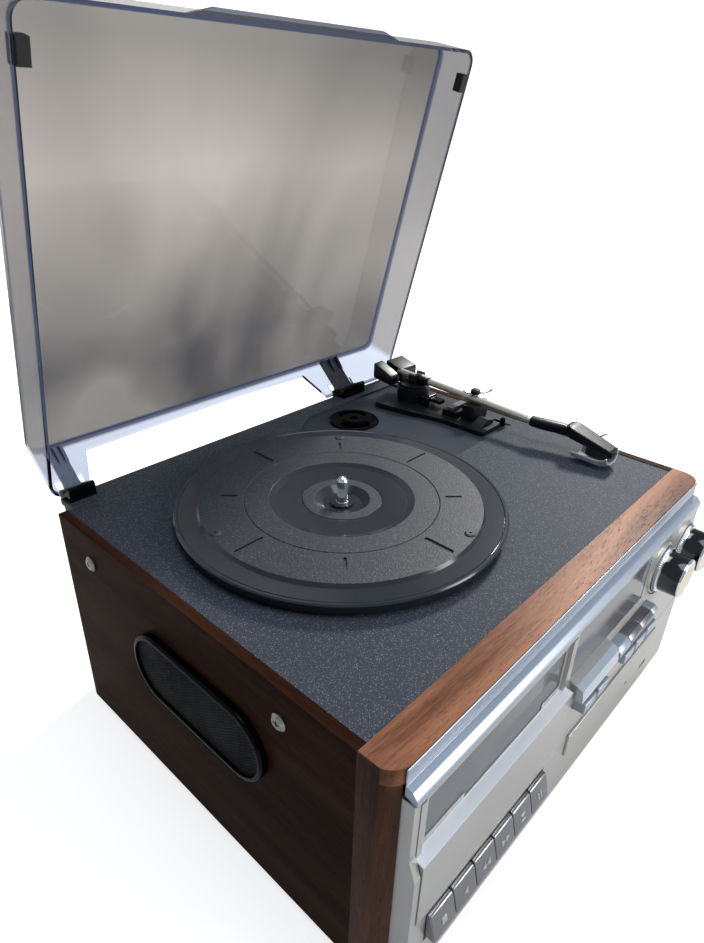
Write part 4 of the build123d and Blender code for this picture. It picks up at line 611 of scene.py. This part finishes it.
def front_silver(name, s, axis, low, high, bright, shine):
    """Silver paint of the front, less metallic on a ledge, the span low..high of one axis, where a painted
    reflection of the sky brightens the colour towards a pale blue.
    """
    m, t, b, where = fresh(name, 0.6, 0.34, tuple(s.silver))
    ledge = between(t, part_of(t, where, axis), low, low + 0.0003, high, high + 0.0003)
    g = placed_group(t, "MouldedGrain", where, Scale=3500.0)
    h = placed_group(t, "HandledSurface", where, Base=0.32, Amount=0.04)
    tone = cloudy(t, g.outputs["Cloud"], tuple(s.silver), shade=0.88)
    # painted reflection: the ledge takes the pale bluish colour of the sky it would mirror
    fill(t, b, Base_Color=blend_colours(t, ledge, tone, bright))
    fill(t, b, Metallic=less(t, 0.6, times(t, ledge, shine)))
    smoother = times(t, ledge, 0.15)
    fill(t, b, Roughness=less(t, h.outputs["Roughness"], smoother))
    bumped(t, b, g.outputs["Height"], 0.05, 0.00001)
    return m


def woven_black():
    """Open mesh in relief: two families of slanting sine ribs crossing, and painted shade in the pits between
    them.
    """
    m, t, b, where = fresh("SpeakerMesh", 0.0, 0.5, (0.008, 0.008, 0.009), specular=0.05)
    y, z = part_of(t, where, "Y"), part_of(t, where, "Z")
    wide, tall = 2 * math.pi / 0.0032, 2 * math.pi / 0.0022
    across, up = times(t, y, wide), times(t, z, tall)
    rise, fall = plus(t, across, up), less(t, across, up)
    weave = most(t, sums(t, "SINE", rise), sums(t, "SINE", fall))
    # painted shade: the pits between the ribs darkened to near black
    tone = blend_colours(t, ranged(t, weave, -0.2, 0.9), (0.001, 0.001, 0.001), (0.008, 0.008, 0.009))
    fill(t, b, Base_Color=tone)
    handled(t, b, where, 0.4, 0.2)
    bumped(t, b, weave, 0.8, 0.0003)
    return m


def knob_finish():
    """Chrome foot, black chrome side, bright rim and pale gold spun face. They are split by depth along the
    axis and by the distance from the nearer knob's axis, found by folding x about the knobs' middle."""
    m, t, b, where = fresh("KnobBlackChrome", 1.0, 0.1, (0.16, 0.16, 0.17))
    x, y, z = (part_of(t, where, k) for k in "XYZ")
    left, right = (KNOB_X[k] * MM for k in ("volume", "tuning"))
    dx = less(t, sums(t, "ABSOLUTE", less(t, x, (left + right) / 2)), (right - left) / 2)
    dz = less(t, z, KNOB_Z * MM)
    r = sums(t, "SQRT", plus(t, times(t, dx, dx), times(t, dz, dz)))
    foot = ranged(t, y, (KNOB_Y - 4.2) * MM, (KNOB_Y - 4.0) * MM)
    rim = ranged(t, y, (KNOB_Y - 17.0) * MM, (KNOB_Y - 16.5) * MM, 1.0, 0.0)
    face = times(t, rim, ranged(t, r, 0.0119, 0.0121, 1.0, 0.0))
    side = blend_colours(t, most(t, foot, rim), (0.05, 0.05, 0.055), (0.78, 0.78, 0.80))
    fill(t, b, Base_Color=blend_colours(t, face, side, (0.82, 0.70, 0.52)))
    h = placed_group(t, "HandledSurface", where, Base=0.07, Amount=0.1)
    turn = sums(t, "SINE", times(t, r, 2 * math.pi / 0.0004))
    duller = times(t, face, 0.12)
    fill(t, b, Roughness=plus(t, h.outputs["Roughness"], duller))
    bumped(t, b, times(t, turn, face), 0.25, 0.00002)
    return m


FINISHES = {}


def finish_of(key):
    """The finish of that plain name, made once."""
    if key in FINISHES:
        return FINISHES[key]
    s = bpy.context.scene.music_centre
    makers = {
        # painted shade: the side boards use the front walnut's tones scaled to about a fifth, a shaded copy
        # of the same veneer
        "side_walnut_painted_shade": lambda: walnut("SideWalnutPaintedShade", shaded(s.wood_dark, 0.21), shaded(s.wood_light, 0.165),
                                      "Y", 0.01),
        "front_walnut": lambda: walnut("FrontWalnut", s.wood_dark, s.wood_light, "X", 0.045, DECK_Z - 9.5),
        "fibre": lambda: moulded("Fibreboard", (0.20, 0.15, 0.10), 0.8, 500.0, 0.0001),
        "deck": deck_black,
        "platter": platter_black,
        "black": lambda: moulded("BlackMoulding", (0.008, 0.009, 0.012), 0.34, 1500.0, 0.00003, 0.25,
                                 specular=BLACK_SHINE),
        "black_gloss": lambda: polished("BlackGloss", (0.002, 0.002, 0.003), 0.10, 0.0, 0.06, 0.07),
        "silver": lambda: moulded("SilverPaint", s.silver, 0.34, 3500.0, 0.00001, 0.06, metallic=0.6,
                                  smear=0.03),
        # the cassette door's ledge strip and the panel's front band carry a painted reflection
        "door": lambda: front_silver("DoorPaint", s, "Z", (LEDGE_Z - 1.2) * MM, (LEDGE_Z + 1.6) * MM,
                                     (0.93, 0.96, 1.0), 0.5),
        "fascia": lambda: front_silver("PanelPaint", s, "Y", -0.2, -0.1512, (0.60, 0.67, 0.74), 0.25),
        "dark_silver": lambda: moulded("DarkSilverPaint", (0.24, 0.24, 0.255), 0.24, 3500.0, 0.00001, 0.05,
                                       metallic=0.8, smear=0.03),
        "trim": lambda: moulded("TrimPaint", s.trim, 0.30, 3500.0, 0.00001, 0.05, metallic=0.45, smear=0.02),
        "chrome": lambda: polished("Chrome", (0.80, 0.80, 0.82), 0.07),
        "pale_gold": lambda: polished("PaleGoldTube", (0.90, 0.84, 0.73), 0.20, 0.45, 0.03),
        "nickel": lambda: polished("NickelScrew", (0.31, 0.30, 0.28), 0.28),
        "steel": lambda: moulded("Steel", (0.55, 0.55, 0.56), 0.4, 1800.0, 0.00002, 0.2, metallic=1.0),
        "grey": lambda: moulded("GreyMoulding", (0.16, 0.17, 0.18), 0.5, 1200.0),
        "rubber": lambda: moulded("Rubber", (0.015, 0.015, 0.016), 0.7, 800.0),
        "mesh": woven_black,
        "knob": knob_finish,
        "lid": lambda: lid_smoke(s),
        "hinge": hinge_finish,
        "window": lambda: smoke_clear("SmokeWindow", (0.075, 0.068, 0.064), (0.22, 0.23, 0.26), 0.93, 1.0),
        "milky": lambda: smoke_clear("MilkyGuard", (0.74, 0.76, 0.82), (0.9, 0.92, 0.96), 0.62, 0.95),
        "board": lambda: moulded("CircuitBoard", (0.03, 0.16, 0.07), 0.4, 700.0),
    }
    FINISHES[key] = makers[key]()
    return FINISHES[key]


def dress(key, *names):
    """Give CAD nodes a finish."""
    for name in names:
        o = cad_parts[name]
        for s in o.material_slots:
            s.material = finish_of(key)


def finished(obj, key, body, slot, *nodes):
    """A new piece with its finish, riding on a body and standing for nodes."""
    obj.data.materials.clear()
    obj.data.materials.append(finish_of(key))
    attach(obj, body)
    if nodes:
        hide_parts(*nodes)
    return obj


# ------------------------------------------------------------------ settings

class MusicCentreSettings(bpy.types.PropertyGroup):
    """Colours and sizes that a user would change."""
    wood_dark: FloatVectorProperty(name="Wood, dark", description="Darkest tone of the veneer",
                                   subtype="COLOR", size=3, default=(0.085, 0.028, 0.015))
    wood_light: FloatVectorProperty(name="Wood, light", description="Lightest tone of the veneer",
                                    subtype="COLOR", size=3, default=(0.47, 0.205, 0.115))
    silver: FloatVectorProperty(name="Front panel", description="Silver paint of the front panel",
                                subtype="COLOR", size=3, default=(0.54, 0.53, 0.51))
    trim: FloatVectorProperty(name="Nose trim", description="Pale blue silver of the top trim",
                              subtype="COLOR", size=3, default=(0.45, 0.51, 0.60))
    lid_core: FloatVectorProperty(name="Lid tint", description="Tint of the lid seen face on",
                                  subtype="COLOR", size=3, default=(0.305, 0.283, 0.262))
    lid_rim: FloatVectorProperty(name="Lid edge tint", description="Tint of the lid seen along its walls",
                                 subtype="COLOR", size=3, default=(0.26, 0.255, 0.26))
    knob_ribs: IntProperty(name="Knob ribs", description="Fine ribs round each knob's foot",
                           min=12, max=160, default=72)
    key_light: FloatProperty(name="Key light", description="Power of the lamp to the right of the object",
                             unit="POWER", min=0.0, max=200.0, default=62.0)
    top_light: FloatProperty(name="Top light", description="Power of the large pale blue panel overhead",
                             unit="POWER", min=0.0, max=200.0, default=27.0)
    fill_light: FloatProperty(name="Fill light", description="Power of the panel in front of the object",
                              unit="POWER", min=0.0, max=200.0, default=24.0)


class StageSettings(bpy.types.PropertyGroup):
    """Camera and floor."""
    lens: FloatProperty(name="Lens", description="Focal length on a 36 mm high sensor",
                        min=5.0, max=200.0, default=25.705)
    azimuth: FloatProperty(name="Azimuth", description="Camera direction round the object in degrees",
                           default=-47.96)
    elevation: FloatProperty(name="Elevation", description="Camera height angle in degrees", default=28.51)
    roll: FloatProperty(name="Roll", description="Turn of the camera about its own axis in degrees",
                        default=1.76)
    place: FloatVectorProperty(name="Place", description="Where the camera stands", subtype="XYZ",
                               unit="LENGTH", size=3, default=(-0.3221, -0.2427, 0.4029))
    floor: FloatVectorProperty(name="Floor", description="Colour of the floor and backdrop", subtype="COLOR",
                               size=3, default=(0.55, 0.55, 0.55))
    floor_white: FloatProperty(name="Floor whiteness", min=0.0, max=2.0, default=0.80,
                               description="How far the floor is lifted to white for the camera")


# ------------------------------------------------------------------ pieces

class MUSIC_OT_cabinet(bpy.types.Operator):
    """Finish the wooden cabinet, its back, feet and screws"""
    bl_idname = "music.cabinet"
    bl_label = "Cabinet"

    def execute(self, context):
        dress("side_walnut_painted_shade", "side_panel_left", "side_panel_right")
        dress("front_walnut", "front_frame")
        dress("fibre", "bottom_board")
        dress("black", "rear_cover", "rear_sockets", "speaker_drivers")
        dress("rubber", "feet", "drive_belt")
        dress("nickel", "side_screws")
        dress("steel", "turntable_motor", "motor_pulley")
        dress("board", "circuit_boards")
        return {"FINISHED"}


def stadium(steps, length, width):
    """A long round-ended loop, two half circles of half the width joined by straight runs, and its outward
    direction at each point: x = +-(length - width) / 2 + cos t width / 2, y = sin t width / 2."""
    t = np.linspace(0, 2 * np.pi, steps, endpoint=False)
    shift = (length - width) / 2 * np.sign(np.cos(t))
    c, s = np.cos(t), np.sin(t)
    return np.stack([shift + c * width / 2, s * width / 2], -1), np.stack([c, s], -1)


class MUSIC_OT_grilles(bpy.types.Operator):
    """Make the two side speaker grilles: a glossy rim with a woven crowned face"""
    bl_idname = "music.grilles"
    bl_label = "Speaker grilles"

    def execute(self, context):
        y, z, length, height = GRILLE
        loop, out = stadium(160, length, height)
        rim = soft_profile([(-3.0, 2.0), (-3.0, 4.9), (-2.2, 5.0), (-0.6, 4.7), (0.0, 3.4), (0.0, 0.02)], 0.6)
        flat = loop[:, None] + out[:, None] * rim[None, :, :1]
        proud = np.repeat(rim[None, :, 1], len(loop), 0)
        rim_points = np.stack([SIDE_X + proud, y + flat[..., 0], z + flat[..., 1]], -1)
        inner = loop - out * 3.0
        s = np.linspace(0, 1, 14)
        spread = inner[:, None] * s[None, :, None]
        crown = np.repeat((3.3 + 0.9 * (1 - s ** 2))[None], len(loop), 0)
        face_points = np.stack([SIDE_X + crown, y + spread[..., 0], z + spread[..., 1]], -1)
        pairs = [(name, [put_mesh("right", points), put_mesh("left", mirrored_x(points))])
                 for name, points in (("speaker_rims", rim_points), ("speaker_faces", face_points))]
        rims, faces = (joined(name, pair) for name, pair in pairs)
        finished(rims, "black_gloss", "cabinet", "gloss_black", "speaker_rings")
        finished(faces, "mesh", "cabinet", "mesh", "speaker_meshes")
        return {"FINISHED"}


class MUSIC_OT_turntable(bpy.types.Operator):
    """Finish the deck, platter, spindle and adapter"""
    bl_idname = "music.turntable"
    bl_label = "Turntable"

    def execute(self, context):
        dress("deck", "deck_plate")
        dress("platter", "platter")
        dress("chrome", "spindle")
        dress("black_gloss", "adapter_45")
        return {"FINISHED"}


class MUSIC_OT_arm(bpy.types.Operator):
    """Make the tone arm: tube, bent neck, head shell, weight, rest clip and cue lever"""
    bl_idname = "music.arm"
    bl_label = "Tone arm"

    def execute(self, context):
        dress("black", "tonearm_base", "tonearm_yoke", "arm_rest_post")
        dress("black_gloss", "cue_lever", "speed_switch")
        dress("grey", "lift_platform")
        self.tube()
        self.shell()
        self.weight()
        self.clip()
        return {"FINISHED"}

    def tube(self):
        """The straight tube with its collar, and the black neck that bends out to the shell."""
        tube = put_mesh("tube", laid(bar_along_y(np.linspace(122.0, -19.0, 24), TUBE_X, PIVOT_Z, 6.0, 6.0)))
        ring_y = np.array([99.0, 98.4, 92.0, 91.4, 88.0, 87.4, 84.0])
        size = np.array([7.2, 8.2, 8.2, 7.4, 7.4, 6.6, 6.4])
        ring = put_mesh("collar", laid(bar_along_y(ring_y + 3, TUBE_X, PIVOT_Z, size, size, 3.0)))
        s = np.linspace(0, 1, 26)
        ease = s * s * (3 - 2 * s)
        ny = -16.0 - 32.0 * s
        nx = TUBE_X + 7.0 * ease
        wide = 7.6 + 1.6 * np.sin(np.pi * s)
        tall = 7.8 + 0.9 * np.sin(np.pi * s)
        neck = put_mesh("neck", laid(bar_along_y(ny, nx, PIVOT_Z, wide, tall, 3.2)))
        finished(tube, "pale_gold", "arm_body", "chrome", "tonearm_tube")
        finished(joined("arm_neck", [ring, neck]), "black", "arm_body", "black_plastic")

    def shell(self):
        """A tapering round-edged shell, nose down, with a finger lift, the cartridge and its milky guard."""
        s = np.linspace(0, 1, 22)
        y = -45.0 - 40.0 * s
        swell = np.sin(np.pi * np.clip(s * 1.25, 0, 1))
        x = 150.0 - 4.2 * s
        z = DECK_Z + 18.6 - 7.2 * s
        wide = (9.0 + 8.0 * np.clip(s / 0.14, 0, 1) ** 0.5) * (1 - 0.28 * s) + 0.6 * swell
        tall = (9.6 - 4.4 * s) * np.clip(0.75 + 2 * s, 0, 1)
        body = put_mesh("shell", bar_along_y(y, x, z, wide, tall, 9.0, 48))
        u = np.linspace(0, 1, 18)
        lift = np.stack([153.0 + 15.0 * u, -67.0 - 1.5 * u, DECK_Z + 14.8 + 1.0 * u - 1.2 * u ** 4], -1)
        finger = put_mesh("lift", tube_in_plane(lift, 0.9 - 0.45 * u, (0, 1.0, 0.0), 14))
        finished(joined("head_shell", [body, finger]), "black", "arm_body", "black_plastic", "headshell")
        c = np.linspace(0, 1, 12)
        block = bar_along_y(-64.5 - 16.0 * c, 146.8, DECK_Z + 8.2 - 1.2 * c, 9.2, 8.0 - 0.4 * c, 6.0)
        cartridge = put_mesh("cartridge_body", block)
        finished(cartridge, "black", "arm_body", "black_plastic", "cartridge")
        across = np.linspace(-1, 1, 30)
        along = np.linspace(0, 1, 24)
        a, b = np.meshgrid(across, along, indexing="ij")
        gx = 143.5 + 10.5 * a * (1 - 0.10 * b)
        gy = -58.0 - 28.0 * b + 1.2 * a ** 2
        gz = DECK_Z + 1.5 + 1.2 * (1 - b) + 5.6 * np.abs(a) ** 5 + 4.0 * np.clip((b - 0.72) / 0.28, 0, 1) ** 2
        guard = put_mesh("guard", np.stack([gx, gy, gz], -1), closed=False)
        skin = guard.modifiers.new("wall", "SOLIDIFY")
        skin.thickness = 0.0009
        skin.offset = 1.0
        finished(guard, "milky", "arm_body", "white_clear", "stylus_guard")

    def weight(self):
        """The two wedge blocks of the counterweight, edges rounded, with their joining web."""
        left = [(117.6, 12.4), (117.6, 21.0), (139.4, 29.4), (139.4, 15.1)]
        right = [(117.6, 12.4), (117.6, 24.4), (136.4, 29.4), (136.4, 15.1)]
        web = [(125.6, 15), (125.6, 22), (135.4, 22), (135.4, 15)]
        blocks = []
        for outline, radius, x0, x1, edge in ((left, 2.0, 127.0, 138.5, 0.9), (right, 2.0, 141.0, 163.0, 0.9),
                                              (web, 1.0, 137.5, 142.0, 0.2)):
            side = soft_loop(np.array(outline) + [0, DECK_Z], radius)
            blocks.append(put_mesh("block", pillow(side, x0, x1, edge)))
        finished(joined("counter_weight", blocks), "black", "arm_body", "black_plastic", "counterweight")

    def clip(self):
        """The chrome half ring over the tube, its black boss and two wings that dip and rise to their tips:
        height = 25.6 - 7.6 |s| + 9 s^2 above the deck."""
        x, y = CLIP
        at = PIVOT_Z - (PIVOT[1] - y) * math.tan(math.radians(ARM_TILT))
        t = np.linspace(math.radians(105), math.radians(-28), 24)
        ring = np.stack([TUBE_X + 4.5 * np.cos(t), y + 0 * t, at + 4.5 * np.sin(t)], -1)
        foot = np.array([[148.2, y, DECK_Z + 14], [148.2, y, DECK_Z + 11]])
        hook = put_mesh("hook", tube_in_plane(np.concatenate([ring, foot]), 0.85, (0, 1.0, 0.0)))
        s = np.linspace(-1, 1, 60)
        reach = np.where(s < 0, 10.5, 15.0)  # the left wing passes under the shut lid when turned back
        slant = math.radians(38)
        bar = np.stack([x + reach * s * math.cos(slant), y - reach * s * math.sin(slant),
                        DECK_Z + 25.6 - 7.6 * np.abs(s) + 9.0 * s ** 2], -1)
        across = (math.sin(slant), math.cos(slant), 0.0)
        wings = put_mesh("wings", tube_in_plane(bar, 0.75 + 0.3 * np.abs(s) ** 3, across))
        finished(joined("clip_wire", [hook, wings]), "chrome", "clip_body", "chrome", "arm_clip")
        half = soft_profile([(0, 23.0), (3.4, 23.0), (4.2, 24.4), (4.2, 26.2), (3.2, 27.6), (0, 27.8)], 0.9)
        boss = put_mesh("clip_boss", turned(half, (x, y, DECK_Z), steps=28))
        finished(boss, "black", "clip_body", "black_plastic")


class MUSIC_OT_lid(bpy.types.Operator):
    """Finish the clear lid, its hinges and bumpers"""
    bl_idname = "music.lid"
    bl_label = "Lid"

    def execute(self, context):
        dress("lid", "lid")
        dress("rubber", "lid_bumpers")
        dress("hinge", "hinge_blades")
        dress("black_gloss", "hinge_knuckles")
        return {"FINISHED"}


ARROW_LEFT = ((-2.0, 0.0), (1.6, -2.2), (1.6, 2.2))
ARROW_RIGHT = ((2.0, 0.0), (-1.6, 2.2), (-1.6, -2.2))
SIGNS = (
    [[(-2.0, -2.0), (2.0, -2.0), (2.0, 2.0), (-2.0, 2.0)]],
    [ARROW_LEFT],
    [[(a - 2.1, b) for a, b in ARROW_LEFT], [(a + 2.1, b) for a, b in ARROW_LEFT]],
    [[(a - 2.1, b) for a, b in ARROW_RIGHT], [(a + 2.1, b) for a, b in ARROW_RIGHT]],
    [[(-2.4, 2.6), (0.0, -0.2), (2.4, 2.6)][::-1], [(-2.4, -2.4), (2.4, -2.4), (2.4, -1.4), (-2.4, -1.4)]],
    [[(-2.0, -2.2), (-0.7, -2.2), (-0.7, 2.2), (-2.0, 2.2)],
     [(0.7, -2.2), (2.0, -2.2), (2.0, 2.2), (0.7, 2.2)]],
)  # record, play, back, forward, stop and eject, pause


class MUSIC_OT_front(bpy.types.Operator):
    """Finish the front: panel, trim, cassette door and keys, display, disc drawer"""
    bl_idname = "music.front"
    bl_label = "Front"

    def execute(self, context):
        dress("fascia", "front_fascia")
        dress("silver", "cd_tray")
        dress("door", "cassette_door")
        dress("window", "cassette_window", "display_lens")
        dress("black", "cassette_mechanism", "cd_mechanism")
        self.nose()
        self.deck_keys()
        self.small_keys()
        return {"FINISHED"}

    def nose(self):
        """The trim under the wooden rail: a cove, a groove and a round nose carried from side to side."""
        outline = soft_loop([(-140.0, 167.5), (-140.9, 167.2), (-140.5, 164.5), (-140.4, 160.0),
                             (-141.1, 158.2), (-140.4, 157.8), (-140.4, 157.0), (-141.4, 156.8),
                             (-143.9, 156.2), (-147.0, 152.5), (-147.0, 149.2), (-140.0, 149.2)], 1.0, 4)
        trim = put_mesh("nose", pillow(outline, -169.2, 169.2, 0.02, spine=-140.0))
        finished(trim, "trim", "cabinet", "trim_blue", "nose_trim")

    def deck_keys(self):
        """Six slanted piano keys with rounded rims, and a plain sign in relief on each."""
        y = FRONT_LOW
        side = soft_loop([(y + 3.4, 57.0), (y - 1.8, 57.0), (y - 3.0, 55.4), (y - 6.7, 40.5),
                          (y - 5.4, 39.0), (y + 3.4, 39.0)], 1.2)
        first, pitch, gap = -155.5, 19.1, 0.3
        for i in range(len(SIGNS)):
            x0 = first + pitch * i + gap
            body = f"key_body_{i + 1}"
            key = put_mesh(f"deck_key_{i + 1}", pillow(side, x0, x0 + pitch - 2 * gap, 0.7))
            finished(key, "dark_silver", body, "dark_silver", f"cassette_key_{i + 1}")
            loops = [self.raised(loop, x0 + pitch / 2 - gap) for loop in SIGNS[i]]
            finished(joined(f"key_sign_{i + 1}", loops), "silver", body, "silver")

    def raised(self, outline, x):
        """A sign 0.3 mm proud of the key's slanted face: y = top line - slope (top - z) - height."""
        p = pillow(soft_loop(np.array(outline) + [x, 47.6], 0.25, 3), 0.0, 0.4, 0.12, "xz")
        p[..., 1] = -153.2 - 3.7 / 14.9 * (55.4 - p[..., 2]) - p[..., 1]
        return put_mesh("sign", p)

    def small_keys(self):
        """Mode keys under the ledge and the small buttons below them, rims rounded."""
        y = FRONT_LOW
        side = soft_loop([(-157.0, 100.4), (-156.2, 99.6), (y + 5.5, 99.6), (y + 5.5, 107.0),
                          (-154.0, 107.0), (-157.0, 104.0)], 0.8)
        for i, (x0, x1) in enumerate(((31, 47), (47, 65), (65, 84), (84, 93))):
            key = put_mesh(f"mode_bar_{i + 1}", pillow(side, x0 + 0.15, x1 - 0.15, 0.5))
            tone = "trim" if i in (0, 3) else "dark_silver"
            finished(key, tone, f"mode_body_{i + 1}", "silver", f"mode_key_{i + 1}")
        face = soft_loop([(y - 7.4, 88.6), (y + 3.6, 88.0), (y + 3.6, 96.0), (y - 7.4, 96.0)], 0.8)
        for i, x0 in enumerate((-16.0, 2.0, 41.0, 59.0, 77.0)):
            key = put_mesh(f"button_{i + 1}", pillow(face, x0, x0 + 15.0, 0.7))
            finished(key, "trim", f"button_body_{i + 1}", "silver", f"small_button_{i + 1}")


class MUSIC_OT_knobs(bpy.types.Operator):
    """Make the two knobs: ribbed foot, black chrome side and a pale gold spun face"""
    bl_idname = "music.knobs"
    bl_label = "Knobs"

    def execute(self, context):
        ribs = context.scene.music_centre.knob_ribs
        foot = soft_profile([(0, -12.0), (3.0, -12.0), (3.0, 0.0), (16.3, 0.0), (16.6, 0.5), (16.6, 3.4),
                             (15.8, 4.0), (14.6, 4.0)], 0.4, 4)
        side = soft_profile([(14.6, 4.0), (14.3, 16.8), (14.0, 18.0), (13.1, 18.5), (12.2, 18.2),
                             (11.9, 17.9), (0.0, 17.7)], 0.5, 4)
        profile = np.concatenate([foot, side[1:]])
        ribbed = profile[:, 0] > 16.2
        first, last = int(np.argmax(ribbed)), int(len(profile) - np.argmax(ribbed[::-1]))
        for name, x in KNOB_X.items():
            knob = put_mesh("knob", turned(profile, (x, KNOB_Y, KNOB_Z), "y", 288, (first, last, ribs, 0.35)))
            mark = soft_loop([(x - 0.5, 131.0), (x + 0.5, 131.0), (x + 0.5, 137.2), (x - 0.5, 137.2)], 0.4)
            line = put_mesh("mark", pillow(mark, KNOB_Y - 18.1, KNOB_Y - 17.6, 0.1, "xz"))
            finished(joined(name + "_knob_turned", [knob, line]), "knob", name + "_body", "knob_black",
                     name + "_knob")
        return {"FINISHED"}


def seen_levels(tree):
    """Two masks: rays from the camera or through glass, and these with reflections at GLOSS_LEVEL."""
    path = node(tree, "ShaderNodeLightPath")
    seen = most(tree, path.outputs["Is Camera Ray"], path.outputs["Is Transmission Ray"])
    return seen, most(tree, seen, times(tree, path.outputs["Is Glossy Ray"], GLOSS_LEVEL))


def standing(name, data, back, place, roll=0.0):
    """A lamp or camera that looks along -back, its top up but for a roll about back."""
    x = np.cross([0, 0, 1], back)
    x /= np.linalg.norm(x)
    c, s = np.cos(roll), np.sin(roll)
    m = np.eye(4)
    m[:3, :3] = np.stack([x, np.cross(back, x), back], 1) @ [[c, -s, 0], [s, c, 0], [0, 0, 1]]
    m[:3, 3] = place
    obj = bpy.data.objects.new(name, data)
    bpy.context.scene.collection.objects.link(obj)
    obj.matrix_world = Matrix(m.tolist())
    return obj


class MUSIC_OT_stage(bpy.types.Operator):
    """Set up the floor, the soft studio light and the camera"""
    bl_idname = "music.stage"
    bl_label = "Stage"

    def execute(self, context):
        scene = context.scene
        s = scene.music_stage
        self.floor(s)
        self.world(scene)
        looks = scene.music_centre
        self.lamp("key", (2.3, 0.56, 1.85), (0.0, 0.0, 0.15), looks.key_light, 0.36, (1.0, 0.95, 0.88))
        self.lamp("top", (0.1, -0.1, 2.4), (0.0, 0.0, 0.15), looks.top_light, 1.4, (0.72, 0.85, 1.0))
        self.lamp("fill", (0.95, -1.8, 0.8), (0.05, -0.3, 0.0), looks.fill_light, 0.9, (1.0, 0.96, 0.91))
        self.camera(scene, s)
        scene.view_settings.view_transform = "Standard"
        return {"FINISHED"}

    def floor(self, s):
        """One big sheet that bends up behind the object: height = r (1 - cos t) past the bend."""
        t = np.linspace(0, np.pi / 2, 24)
        run = np.concatenate([[-3000.0], 1500 + 700 * np.sin(t), [2200.0]])
        rise = np.concatenate([[0.0], 700 * (1 - np.cos(t)), [4200.0]])
        x = np.linspace(-4000, 4000, 2)
        px, py = np.meshgrid(x, run, indexing="ij")
        points = np.stack([px, py, np.repeat(rise[None], 2, 0)], -1)
        sheet = put_mesh("floor", points, closed=False)
        m, t, b, where = fresh("PaleFloor", 0.0, 0.85, tuple(s.floor), specular=0.0)
        cloud = node(t, "ShaderNodeTexNoise", Scale=2.0, Detail=3.0, Vector=where)
        tone = blend_colours(t, cloud.outputs[0], tuple(s.floor), shaded(s.floor, 0.98))
        fill(t, b, Base_Color=tone)
        level = seen_levels(t)[1]
        far = node(t, "ShaderNodeVectorMath", operation="LENGTH")
        t.links.new(where, far.inputs[0])
        lift = ranged(t, far.outputs["Value"], 0.35, 0.9, s.floor_white, 1.1)
        fill(t, b, Emission_Color=(1, 1, 1, 1), Emission_Strength=times(t, level, lift))
        sheet.data.materials.append(m)

    def world(self, scene):
        """White to the camera and through glass, dimmer in reflections, a plain soft level as light."""
        w = bpy.data.worlds.new("Studio")
        scene.world = w
        w.use_nodes = True
        t = w.node_tree
        back = t.nodes["Background"]
        seen, level = seen_levels(t)
        fill(t, back, Color=blend_colours(t, seen, (0.80, 0.90, 1.0), (1, 1, 1)))
        fill(t, back, Strength=ranged(t, level, 0, 1, 0.09, 1.1))

    def lamp(self, name, place, aim, power, size, colour):
        """A square soft lamp turned to its aim."""
        data = bpy.data.lights.new(name, "AREA")
        data.energy = power
        data.size = size
        data.color = colour
        back = np.subtract(place, aim)
        standing(name, data, back / np.linalg.norm(back), place)

    def camera(self, scene, s):
        """The photograph's viewpoint: back = (sin a cos e, -cos a cos e, sin e), rolled about it."""
        a, e, roll = np.radians([s.azimuth, s.elevation, s.roll])
        data = bpy.data.cameras.new("Camera")
        data.sensor_fit = "VERTICAL"
        data.sensor_height = 36.0
        data.lens = s.lens
        data.clip_start = 0.01
        back = np.array([np.sin(a) * np.cos(e), -np.cos(a) * np.cos(e), np.sin(e)])
        scene.camera = standing("Camera", data, back, s.place, roll)


class MUSIC_PT_panel(bpy.types.Panel):
    """The pieces and settings of the music centre"""
    bl_idname = "MUSIC_PT_panel"
    bl_label = "Music Centre"
    bl_space_type = "VIEW_3D"
    bl_region_type = "UI"
    bl_category = "Music Centre"

    def draw(self, context):
        for settings in (context.scene.music_centre, context.scene.music_stage):
            for key in settings.__annotations__:
                self.layout.prop(settings, key)
        for op in OPERATORS:
            self.layout.operator(op.bl_idname)


OPERATORS = (MUSIC_OT_stage, MUSIC_OT_cabinet, MUSIC_OT_grilles, MUSIC_OT_turntable, MUSIC_OT_arm,
             MUSIC_OT_lid, MUSIC_OT_front, MUSIC_OT_knobs)
CLASSES = (MusicCentreSettings, StageSettings, *OPERATORS, MUSIC_PT_panel)


def register():
    for c in CLASSES:
        bpy.utils.register_class(c)
    bpy.types.Scene.music_centre = bpy.props.PointerProperty(type=MusicCentreSettings)
    bpy.types.Scene.music_stage = bpy.props.PointerProperty(type=StageSettings)


def unregister():
    del bpy.types.Scene.music_centre
    del bpy.types.Scene.music_stage
    for c in reversed(CLASSES):
        bpy.utils.unregister_class(c)


def main():
    register()
    bpy.ops.music.stage()
    bpy.ops.music.cabinet()
    bpy.ops.music.grilles()
    bpy.ops.music.turntable()
    bpy.ops.music.arm()
    bpy.ops.music.lid()
    bpy.ops.music.front()
    bpy.ops.music.knobs()


if __name__ == "__main__":
    main()
